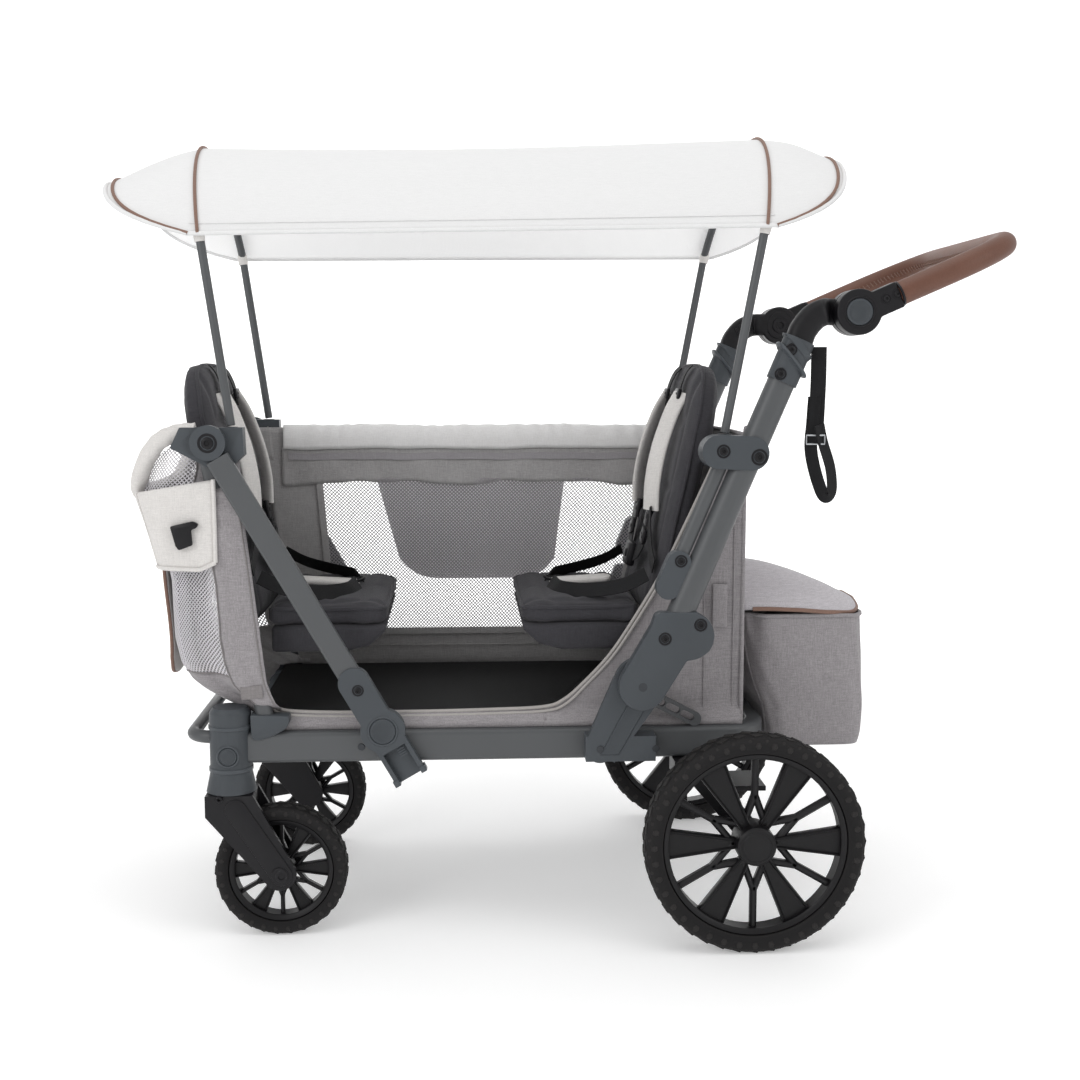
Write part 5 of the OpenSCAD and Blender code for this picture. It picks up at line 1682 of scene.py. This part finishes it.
@dataclass
class Cuff:
    """Padded light rim, turned-down flap with a clip, and the piped apron at the front."""

    front: float = -0.5925
    half: float = 0.2135
    bend: float = 0.048
    back: float = -0.476
    pad: float = 0.009
    rim_r: float = 0.0122
    apron: Triple = (0.115, 0.352, 0.540)

    def build(self) -> None:
        """Makes the cuff's pieces."""
        rim = Form()
        side = [(-0.503, 0.187, 0.710), (-0.528, 0.187, 0.708), (-0.552, 0.186, 0.697),
                (-0.572, 0.180, 0.672), (-0.584, 0.168, 0.645), (-0.5895, 0.145, 0.628),
                (-0.5915, 0.10, 0.621), (-0.592, 0.05, 0.619)]
        rim.tube(spline([(x, -y, z) for x, y, z in side] + [(-0.592, 0.0, 0.6185)] + side[::-1], 9),
                 self.rim_r, 16)
        for v in rim.bm.verts:
            v.co.z += 0.0008 * sin(v.co.y * 330) + 0.0006 * sin(v.co.x * 410)
        pad = rim.done("cuff_rim", LIGHT_CLOTH)
        flap = Form().grid(84, 14, lambda u, v: self.point(1 - 2 * u, v))
        turned = smooth(flap.lined("cuff_flap", LIGHT_CLOTH, LIGHT_CLOTH, self.pad, ["front_cuff"]))
        edge = Form()
        edge.tube([self.point(2 * k / 90 - 1, 0.0) for k in range(91)], 0.0030)
        for s in (-1.0, 1.0):
            edge.tube([self.point(s, v) for v in shares(12)], 0.0030)
        for s in (-0.62, 0.62):
            edge.tube([self.point(s, v) + Vector((0, copysign(0.0006, s), 0)) for v in shares(12)], 0.0010, 6)
        trim = edge.done("cuff_flap_edge", LIGHT_CLOTH)
        crush(pad, turned, trim, self._clip(), *self._apron())

    def point(self, s: float, v: float) -> Vector:
        """Place on the flap's face.

        Args:
            s: -1 at the near side's end, 0 at the front, 1 at the far side's end.
            v: 0 at the lower edge, 1 at the top.

        Returns:
            The point.
        """
        run = self.half - self.bend
        turn = self.bend * pi / 2
        end = self.back - (self.front + self.bend)
        d = abs(s) * (run + turn + end)
        if d < run:
            x, y = self.front, d
        elif d < run + turn:
            a = (d - run) / self.bend
            x, y = self.front + self.bend * (1 - cos(a)), run + self.bend * sin(a)
        else:
            x, y = self.front + self.bend + d - run - turn, self.half
        far = max(0.0, (d - run) / (turn + end))
        low = 0.526 - 0.004 * far + 0.010 * max(0.0, far - 0.86) / 0.14
        high = 0.6225 + 0.024 * far
        out = 0.0022 * ripple(s * 1.5, v * 0.6, 0.3) - 0.004 * (1 - v) * (1 - far)
        x += 0.030 * (1 - v) * (1 - min(1.0, far * 1.25))
        return Vector((x - out * (1 - far), copysign(y + out * far, s), low + (high - low) * v))

    def _clip(self) -> Piece:
        """Black hook on the near flap.

        Returns:
            The piece.
        """
        form = Form()
        hook = [(-0.535, 0.583), (-0.504, 0.590), (-0.496, 0.586), (-0.500, 0.580), (-0.507, 0.578),
                (-0.505, 0.557), (-0.524, 0.550), (-0.528, 0.556)]
        form.plate(hook, 0.0075, Side.LEFT.face(0.2150), 0.0022, (0.003, 0.0012))
        return form.done("cuff_clip", BLACK_PLASTIC, angle=CRISP)

    def _apron(self) -> list[Piece]:
        """Hanging apron with brown piping on three edges.

        Returns:
            The pieces.
        """
        half, low, top = self.apron

        def at(u: float, v: float) -> Vector:
            """Place on the apron.

            Args:
                u: First share.
                v: Second share.

            Returns:
                The point.
            """
            z0 = low + 0.030 * abs(2 * u - 1) ** 6
            z = z0 + (top - z0) * v
            drop = (top - z) / (top - low)
            x = -0.5665 + 0.012 * sin(pi * 0.9 * drop) * drop + 0.003 * ripple(u * 0.8, v * 0.5, 2.0) * drop
            return Vector((x, half * (1 - 2 * u), z))

        sheet = Form().grid(40, 30, at).lined("front_apron", OUTER_CLOTH, LIGHT_CLOTH, 0.003)
        edge = Form()
        line = [at(0.0, 1 - v) for v in shares(30)] + [at(u, 0.0) for u in shares(40)[1:]]
        edge.tube(line + [at(1.0, v) for v in shares(30)[1:]], 0.0026)
        trim = edge.done("front_apron_piping", PIPING)
        return [sheet, trim]


@dataclass
class Pad:
    """A stuffed pad that a short cloth simulation swells."""

    outline: Sequence[Pair]
    low: float
    high: float
    voxel: float = 0.006
    cap: float = 0.0085
    frames: int = 20
    pressure: float = 4.0

    def swell(self) -> bpy.types.Mesh:
        """Cuts the pad, evens its mesh and stuffs it.

        Returns:
            The stuffed mesh, in the pad's own frame.
        """
        form = Form()
        form.plate(self.outline, self.high - self.low, shift((0, 0, self.low)))
        pad = put_in("pad_cut", form.mesh("pad_cut"))
        even = pad.modifiers.new("even", "REMESH")
        even.mode = "VOXEL"
        even.voxel_size = self.voxel
        self._keep(pad)
        rest = [v.co.copy() for v in pad.data.vertices]
        self._stuff(pad)
        for v, home in zip(pad.data.vertices, rest):
            step = v.co - home
            if step.length > self.cap:
                v.co = home + step * (self.cap / step.length)
        mesh = pad.data
        bpy.data.objects.remove(pad)
        return mesh

    def _stuff(self, pad: Piece) -> None:
        """Runs the simulation and keeps its last frame.

        Args:
            pad: The pad.
        """
        cloth = pad.modifiers.new("stuffing", "CLOTH")
        cloth.settings.use_pressure = True
        cloth.settings.uniform_pressure_force = self.pressure
        cloth.settings.effector_weights.gravity = 0.0
        cloth.point_cache.frame_start = 1
        cloth.point_cache.frame_end = self.frames
        for f in range(1, self.frames + 1):
            bpy.context.scene.frame_set(f)
        self._keep(pad)
        bpy.context.scene.frame_set(1)

    def _keep(self, pad: Piece) -> None:
        """Applies the pad's modifiers.

        Args:
            pad: The pad.
        """
        bpy.context.view_layer.update()
        deps = bpy.context.evaluated_depsgraph_get()
        made = bpy.data.meshes.new_from_object(pad.evaluated_get(deps))
        pad.modifiers.clear()
        pad.data = made


def drawn_in(length: float, width: float, draw: float, crown: float, steps: int = 12) -> list[Pair]:
    """Outline of a pad from its hinge upward, with sides drawn in and a rounded far end.

    Args:
        length: Length from the hinge.
        width: Width across.
        draw: How far the sides draw in between their corners.
        crown: Radius of the corners at the far end.
        steps: Points on a corner.

    Returns:
        The outline, counter-clockwise.
    """
    half = width / 2
    foot = 0.012
    right = [(half - foot, 0.0), (half - 0.003, 0.003), (half, foot)]
    straight = length - crown
    right += [(half - draw * sin(pi * k / 10), foot + (straight - foot) * k / 10) for k in range(1, 10)]
    for k in range(steps + 1):
        a = pi / 2 * k / steps
        right.append((half - crown + crown * cos(a), straight + crown * sin(a)))
    return right + [(-x, y) for x, y in reversed(right)]


@dataclass
class Seat:
    """One seat: padded back and base with sewn channels, piping, an under-box and its harness."""

    word: str
    hinge: float
    way: float
    back_pad: bpy.types.Mesh
    base_pad: bpy.types.Mesh
    back_line: Sequence[Pair]
    base_line: Sequence[Pair]
    height: float = 0.430
    tilt: float = 12.0
    back_l: float = 0.400
    base_l: float = 0.190
    half: float = 0.1767
    channel: float = 0.004
    seam: float = 0.006
    belt_w: float = 0.024

    def build(self) -> None:
        """Makes the seat's pieces."""
        c, s = cos(radians(self.tilt)), sin(radians(self.tilt))
        self.lean = self._axes((0, self.way, 0), (-self.way * s, 0, c), (self.way * c, 0, s))
        self.flat = self._axes((0, -self.way, 0), (self.way, 0, 0), (0, 0, 1))
        back = self._pad("back", self.back_pad, self.back_l, -0.021, 0.118, self.lean)
        base = self._pad("base", self.base_pad, self.base_l, 0.020, 0.140, self.flat)
        crush(back, base, self._piping(), self._box(), *self._harness())

    def _axes(self, across: Triple, up: Triple, out: Triple) -> Matrix:
        """Frame of a pad at the hinge.

        Args:
            across: Way across the pad.
            up: Way up the pad.
            out: Way out of the cloth.

        Returns:
            The frame.
        """
        place = Matrix((across, up, out)).transposed().to_4x4()
        place.translation = (self.hinge, 0.0, self.height)
        return place

    def _pad(self, part: str, mesh: bpy.types.Mesh, length: float, middle: float, bolster: float,
             place: Matrix) -> Piece:
        """Sews a stuffed pad's channels and puts it in its place.

        Args:
            part: The pad's part of the seat, as its frame node names it.
            mesh: The stuffed mesh.
            length: Length of the pad.
            middle: Height of its middle layer.
            bolster: Distance of its lengthwise seams from the middle.
            place: Its frame.

        Returns:
            The piece.
        """
        form = Form()
        form.bm.from_mesh(mesh)
        bmesh.ops.smooth_vert(form.bm, verts=form.bm.verts[:], factor=0.5, use_axis_x=True, use_axis_y=True,
                              use_axis_z=True)
        for v in form.bm.verts:
            if v.co.z > middle:
                rows = sum(exp(-((v.co.y / length - k / 4) * length / self.seam) ** 2) for k in (1, 2, 3))
                lines = exp(-((abs(v.co.x) - bolster) / self.seam) ** 2)
                inside = 1.0 if abs(v.co.x) < bolster else 0.0
                v.co.z -= self.channel * max(rows * inside, lines * 0.9)
        bmesh.ops.transform(form.bm, matrix=place, verts=form.bm.verts[:])
        pad = form.done(f"{self.word}_{part}_pad", SEAT_CLOTH, CHASSIS, [f"{self.word}_seat_{part}"], SOFT)
        smooth(pad)
        return pad

    def _piping(self) -> Piece:
        """Corded edges of both pads.

        Returns:
            The piece.
        """
        form = Form()
        for line, mesh, place, z in ((self.back_line, self.back_pad, self.lean, -0.0105),
                                     (self.base_line, self.base_pad, self.flat, 0.030)):
            skin = BVHTree.FromPolygons([v.co for v in mesh.vertices], [p.vertices[:] for p in mesh.polygons])
            path = [skin.find_nearest((x, y, z))[0] for x, y in line]
            for _ in range(2):
                path = [(path[k - 1] + p * 2 + path[(k + 1) % len(path)]) / 4 for k, p in enumerate(path)]
            form.tube([place @ p for p in path], 0.0028, 8, True)
        return form.done(f"{self.word}_seat_piping", SEAT_CLOTH)

    def _box(self) -> Piece:
        """Cloth box under the base.

        Returns:
            The piece.
        """
        form = Form()
        turn = Matrix(((0, 0, 1, 0), (1, 0, 0, 0), (0, 1, 0, 0), (0, 0, 0, 1)))
        depth = 2 * self.half - 0.03
        outline = [(0.012, -0.034), (0.118, -0.034), (0.150, -0.026), (0.172, -0.006), (0.176, 0.004),
                   (0.012, 0.004)]
        form.plate(outline, depth, self.flat @ turn @ shift((0, 0, -depth / 2)), 0.006)
        return form.done(f"{self.word}_seat_box", SEAT_CLOTH, CHASSIS, (), 50.0)

    def _harness(self) -> list[Piece]:
        """Shoulder pads, crotch pad, webbing and buckles.

        Returns:
            The pieces.
        """
        light, web, black = Form(), Form(), Form()
        belt = flat_section(self.belt_w, WEB)
        half_turn = [pi * k / 8 for k in range(16)]
        end = [(0.023 * cos(a), 0.012 * sin(a)) for a in half_turn[:9]]
        lens = [(0.0155 * swollen(cos(a), 0.6), 0.0046 * sin(a)) for a in half_turn]
        for s in (-1, 1):
            bow = spline([(s * 0.064, 0.338, 0.004), (s * 0.070, 0.305, 0.014), (s * 0.076, 0.250, 0.021),
                          (s * 0.079, 0.200, 0.020), (s * 0.077, 0.160, 0.013)], 6)
            out = self.lean.col[2] * 0.8 + self.lean.col[0] * (0.6 * s)
            light.sweep([self.lean @ p for p in bow], lens, out[:3])
            for path in ([(0.058, 0.318, 0.005), (0.056, 0.345, 0.007), (0.052, 0.368, 0.003),
                          (0.050, 0.380, -0.004)],
                         [(0.062, 0.166, 0.006), (0.066, 0.142, 0.012), (0.070, 0.118, 0.012),
                          (0.050, 0.096, 0.014), (0.020, 0.085, 0.016)],
                         [(0.078, 0.163, 0.016), (0.088, 0.135, 0.012), (0.118, 0.105, 0.008),
                          (0.150, 0.085, 0.003)]):
                web.sweep([self.lean @ Vector((s * p.x, p.y, p.z)) for p in spline(path, 5)], belt,
                          self.lean.col[2][:3])
            lap = spline([(s * 0.156, -0.004, 0.074), (s * 0.150, 0.030, 0.057), (s * 0.126, 0.078, 0.047),
                          (s * 0.085, 0.116, 0.0445), (s * 0.030, 0.126, 0.0465)], 6)
            web.sweep([self.flat @ p for p in lap], belt, (self.flat.col[0] * s + self.flat.col[2])[:3])
            for x, y, z, w, h, turn in ((0.057, 0.336, 0.0085, 0.033, 0.016, 0.0),
                                        (0.064, 0.150, 0.0135, 0.032, 0.030, 0.1),
                                        (0.068, 0.120, 0.0150, 0.030, 0.022, 0.2)):
                place = self.lean @ shift((s * x, y, z)) @ spin(-s * turn)
                black.block((w, h, 0.0056), place, 0.0018)
                black.block((w * 0.72, h * 0.24, 0.0078), place, 0.001)
        for size, z, bevel in (((0.052, 0.036, 0.013), 0.019, 0.004), ((0.022, 0.014, 0.016), 0.020, 0.003)):
            black.block(size, self.lean @ shift((0, 0.084, z)), bevel)
        crotch = [(s * x * 0.95, s * (0.036 + y)) for s in (1, -1) for x, y in end]
        light.plate(crotch, 0.009, self.flat @ shift((0, 0.078, 0.0405)) @ spin(-0.06, "X"), 0.0034)
        loop = spline([(-0.012, 0.120, 0.046), (-0.011, 0.130, 0.049), (0.0, 0.134, 0.050),
                       (0.011, 0.130, 0.049), (0.012, 0.120, 0.046), (0.0, 0.116, 0.045)], 5, True)
        black.tube([self.flat @ p for p in loop], 0.0024, 8, True)
        pads = light.done(f"{self.word}_harness_pads", LIGHT_CLOTH, CHASSIS, [f"{self.word}_harness"], 60.0)
        return [pads, web.done(f"{self.word}_harness_webbing", WEBBING),
                black.done(f"{self.word}_harness_buckles", BLACK_PLASTIC, angle=CRISP)]


@dataclass
class Seats:
    """The two facing seats, which share one stuffed back and one stuffed base."""

    front_hinge: float = -0.4212
    rear_hinge: float = 0.122
    back_l: float = 0.400
    base_l: float = 0.190
    width: float = 0.3534

    def build(self) -> None:
        """Stuffs the two pads and sets up both seats."""
        back = drawn_in(self.back_l - 0.008, self.width - 0.012, 0.006, 0.105)
        base = drawn_in(self.base_l - 0.006, self.width - 0.012, 0.004, 0.030)
        back_pad = Pad(back, -0.0325, -0.0090).swell()
        base_pad = Pad(base, 0.0085, 0.0305).swell()
        for word, hinge, way in (("front", self.front_hinge, 1.0), ("rear", self.rear_hinge, -1.0)):
            Seat(word, hinge, way, back_pad, base_pad, back, base).build()


@dataclass
class RearBag:
    """Sagging bag behind the tub, with a piped lid."""

    front: float = 0.2640
    length: float = 0.190
    half: float = 0.149
    low: float = 0.2445
    high: float = 0.440
    square: float = 7.0
    hinge: Pair = (0.2663, 0.506)
    slope: float = 15.7
    lid_l: float = 0.203
    lid_half: float = 0.1535
    floor_share: float = 0.22
    piping_r: float = 0.0030

    def build(self) -> None:
        """Makes the bag and its lid."""
        self.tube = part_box("base_frame")[1].x + 0.001
        form = Form().grid(140, 44, self.point)
        form.lined("rear_bag_shell", OUTER_CLOTH, INNER_CLOTH, 0.0022, ["rear_bag"], angle=70.0, turn=True)
        edge = Form()
        edge.tube([self.point(u, 1.0) for u in shares(120)[:-1]], self.piping_r, 8, True)
        for u in (0.405, 0.595):
            edge.tube([self.point(u, 0.28 + 0.72 * k / 30) for k in range(31)], 0.0016, 6)
        edge.done("rear_bag_hem", OUTER_CLOTH)
        self._lid()

    def point(self, u: float, v: float) -> Vector:
        """Place on the bag.

        Args:
            u: Share of the way round.
            v: 0 at the middle of its floor, 0.22 at the floor's edge, 1 at its rim.

        Returns:
            The point.
        """
        a = 2 * pi * u
        c, s = cos(a), sin(a)
        cx, cy = swollen(c, 2 / self.square), swollen(s, 2 / self.square)
        rise = max(0.0, (v - self.floor_share) / (1 - self.floor_share))
        size = min(1.0, v / self.floor_share)
        z = self.low + (self.high - self.low) * rise
        if v < self.floor_share:
            z += 0.004 * (1 - size)
        sag = 1.0 + 0.012 * sin(pi * min(1.0, rise * 1.2)) - 0.035 * (1 - min(1.0, rise / 0.12)) ** 2
        x0 = along(((self.low, self.tube + 0.008), (0.300, self.tube + 0.002), (0.307, self.tube + 0.001),
                    (0.335, 0.290), (0.37, 0.279), (0.41, 0.268), (0.44, self.front)), z)
        middle, reach = (x0 + self.front + self.length) / 2, (self.front + self.length - x0) / 2
        fold = 0.0038 * ripple(u * 2.4, rise * 1.3, 0.9) * min(1.0, rise * 3) * size
        x = middle + (reach * sag * cx + fold * c) * size
        y = (self.half * sag * cy + fold * s) * size
        pinch = 0.012 * exp(-((x - 0.284) / 0.012) ** 2) * (abs(cy) > 0.6) * rise
        y -= copysign(pinch, y)
        droop = 0.006 * (cx > 0.5) * sin(pi * (cy + 1) / 2) * rise ** 4
        return Vector((max(x, x0), y, z - droop))

    def _lid(self) -> None:
        """Domed lid with brown piping, on its own body."""
        l, half = self.lid_l * cos(radians(self.slope)), self.lid_half
        edge_z = self.high + 0.0085

        def wide(x: float) -> float:
            """Half width of the lid at a distance from its hinge."""
            return half * (1 - (x / l) ** 8) ** 0.5

        def at(u: float, v: float) -> Vector:
            """Place on the lid.

            Args:
                u: First share.
                v: Second share.

            Returns:
                The point.
            """
            x = 0.995 * l * sin(pi / 2 * u)
            side = 2 * v - 1
            rise = (self.hinge[1] - edge_z) * (1 - (x / l) ** 1.8) * (1 - abs(side) ** 2.8)
            rise += 0.0045 * abs(side) ** 3 * sin(5.2 * u + 1.2) + 0.0008 * ripple(u * 0.9, v * 0.9, 4.4)
            return Vector((self.hinge[0] + x, side * wide(x), edge_z + rise))

        # The lid's face is the paler copy of the outer cloth: painted light
        lid = Form().grid(36, 44, at).lined("bag_lid_panel", LID_CLOTH_PAINTED_LIGHT, INNER_CLOTH, 0.0045, ["bag_lid"],
                                            "lid")
        edge = Form()
        line = [at(u, 0.0) for u in shares(40)[2:]] + [at(1.0, v) for v in shares(20)[1:]]
        line += [at(1 - u, 1.0) for u in shares(40)[1:39]]
        edge.tube([p - Vector((0, 0, 0.0016)) for p in line], self.piping_r)
        edge.done("bag_lid_piping", PIPING, "lid")


@dataclass
class Grip:
    """Whip-stitched seam on the leather grip and its end rings."""

    pivot: Pair = (0.39724, 0.87192)
    rise: float = 23.5
    side_y: float = 0.251
    bar: float = 0.2575
    bend: float = 0.120
    start: float = 0.062
    radius: float = 0.0165
    pitch: float = 0.0062

    def build(self) -> None:
        """Makes the seam and its stitches."""
        a = radians(self.rise)
        place = Matrix(((cos(a), 0, -sin(a), self.pivot[0]), (0, 1, 0, 0),
                        (sin(a), 0, cos(a), self.pivot[1]), (0, 0, 0, 1)))
        seam, thread = Form(), Form()
        inner = self._path()
        seam.tube([place @ p for p in inner], 0.0011, 6)
        walked, due = 0.0, self.pitch
        for p, q in zip(inner, inner[1:]):
            walked += (q - p).length
            if walked < due:
                continue
            due += self.pitch
            ahead = (q - p).normalized()
            up = Vector((0, 0, 1))
            frame_at = Matrix((ahead, up.cross(ahead), up)).transposed().to_4x4()
            frame_at.translation = q
            thread.block((0.0014, 0.0022, 0.0078), place @ frame_at @ spin(0.35, "Y"))
        seam.done("grip_seam", LEATHER, "handle")
        thread.done("grip_stitches", PIPING, "handle", (), 20.0)
        rings = Form()
        low, high = self.radius - 0.001, self.radius + 0.0009
        for s in (-1, 1):
            at = place @ shift((self.start, s * self.side_y, 0)) @ spin(pi / 2, "Y")
            rings.lathe([(low, -0.002), (high, -0.0012), (high, 0.0012), (low, 0.002)], at, 36)
        rings.done("grip_rings", BLACK_PLASTIC, "handle", angle=CRISP)

    def _path(self) -> list[Vector]:
        """Path along the grip's inner side, from the left arm round to the right one.

        Returns:
            The points.
        """
        y, x, r = (v - self.radius for v in (self.side_y, self.bar, self.bend))
        line = [Vector((self.start + (x - r - self.start) * k / 60, -y, 0)) for k in range(60)]
        line += [Vector((x - r + r * sin(a), -y + r - r * cos(a), 0))
                 for a in (pi / 2 * k / 100 for k in range(101))]
        line += [Vector((x, (r - y) * (1 - k / 80), 0)) for k in range(1, 81)]
        return line + [Vector((p.x, -p.y, p.z)) for p in reversed(line[:-1])]


@dataclass
class Elbow:
    """Curved handle elbows with a stepped hinge disc and ribbed inner sides."""

    pivot: Pair = (0.39724, 0.87192)
    inner: float = 0.2132
    depth: float = 0.0245
    disc: float = 0.031
    line: tuple[tuple[float, ...], ...] = (
        (0.3186, 0.247, 0.8325, 0.0186, 0.0158), (0.3245, 0.247, 0.8485, 0.0186, 0.0158),
        (0.338, 0.247, 0.8650, 0.0186, 0.0158), (0.3525, 0.2455, 0.8722, 0.0184, 0.0152),
        (0.3645, 0.228, 0.8732, 0.0182, 0.0104), (0.397, 0.2255, 0.8720, 0.0180, 0.0110))

    def build(self) -> None:
        """Makes both elbows."""
        form = Form()
        middle = spline([row[:3] for row in self.line], 8)
        sizes = spline([row[3:] for row in self.line], 8)
        last = len(middle) - 1

        def at(u: float, v: float) -> Vector:
            """Place on the arm.

            Args:
                u: First share.
                v: Second share.

            Returns:
                The point.
            """
            i = round(u * last)
            ahead = middle[min(last, i + 1)] - middle[max(0, i - 1)]
            out = Vector((-ahead.z, 0, ahead.x)).normalized()
            a = 2 * pi * v
            c, s = (swollen(f(a), 0.72) for f in (cos, sin))
            p = middle[i] + out * (sizes[i].x * c)
            return Vector((p.x, -p.y - sizes[i].y * s, p.z))

        form.grid(last, 32, at)
        r, h = self.disc, self.depth
        form.lathe([(0.0, 0.002), (0.005, 0.002), (0.0058, 0.0), (0.012, 0.0), (0.013, 0.0018),
                    (0.0215, 0.0018), (0.023, 0.0038), (r - 0.002, 0.0044), (r, 0.0064), (r, h - 0.001),
                    (r - 0.001, h), (0.008, h), (0.008, h + 0.012), (0.0, h + 0.012)],
                   Side.LEFT.face(self.inner, *self.pivot), 48)
        for k in range(6):
            i = 12 + 3 * k
            place = Side.LEFT.face(middle[i].y - sizes[i].y - 0.0002, middle[i].x, middle[i].z)
            form.block((0.0022, 0.022, 0.0032), place @ spin(0.5 - 0.1 * k), 0.0005)
        form.both().done("handle_elbow_arms", BLACK_PLASTIC, "push_frame", ["handle_elbows"], 34.0)


@dataclass
class WristStrap:
    """Hanging webbing strap with a metal slide and a loop."""

    x: float = 0.3466
    y: float = -0.247
    width: float = 0.021

    def build(self) -> None:
        """Makes the strap and its slide."""
        x, y = self.x, self.y
        form = Form()
        form.sweep(spline([(x, y, 0.8255), (x, y, 0.78), (x - 0.001, y + 0.001, 0.735),
                           (x - 0.003, y, 0.694)]), flat_section(self.width, WEB), (0.18, 0.98, 0))
        form.sweep(spline([(x - 0.004, y + 0.003, 0.758), (x - 0.006, y + 0.003, 0.722),
                           (x - 0.008, y + 0.002, 0.690), (x - 0.003, y, 0.660), (x + 0.008, y, 0.628),
                           (x + 0.016, y, 0.6205), (x + 0.022, y, 0.632), (x + 0.019, y, 0.662),
                           (x + 0.008, y - 0.001, 0.696), (x + 0.002, y - 0.003, 0.720)]),
                   flat_section(self.width * 0.9, WEB), (0.62, 0.78, 0))
        form.done("wrist_strap_webbing", WEBBING, "push_frame", ["wrist_strap"], 40.0)
        slide = Form()
        ring = [(-0.0125, -0.006), (0.0125, -0.006), (0.0125, 0.006), (-0.0125, 0.006)]
        path = [Vector((x - 0.003 + a, y - 0.0035, 0.700 + b)) for a, b in ring]
        slide.tube([p.lerp(q, k / 4) for p, q in zip(path, path[1:] + path[:1]) for k in range(4)], 0.0012, 6,
                   True)
        slide.done("wrist_strap_slide", BRIGHT_STEEL, "push_frame")


def main() -> None:
    """Builds the sub-assemblies in order."""
    logging.basicConfig(level=logging.INFO, format="%(message)s")
    for kind in (Studio, CadDress, Tub, Cuff, Seats, RearBag, Grip, Elbow, WristStrap):
        kind().build()
    for side in Side:
        Wheel(side, "rear", (0.258, 0.2975, 0.152), 0.045, 0.84, 40).build()
        Wheel(side, "front", (-0.396, 0.195, 0.093), 0.040, 0.80, 30).build()
    for kind in (Buttons, Fasteners, Canopy):
        kind().build()


if __name__ == "__main__":
    main()
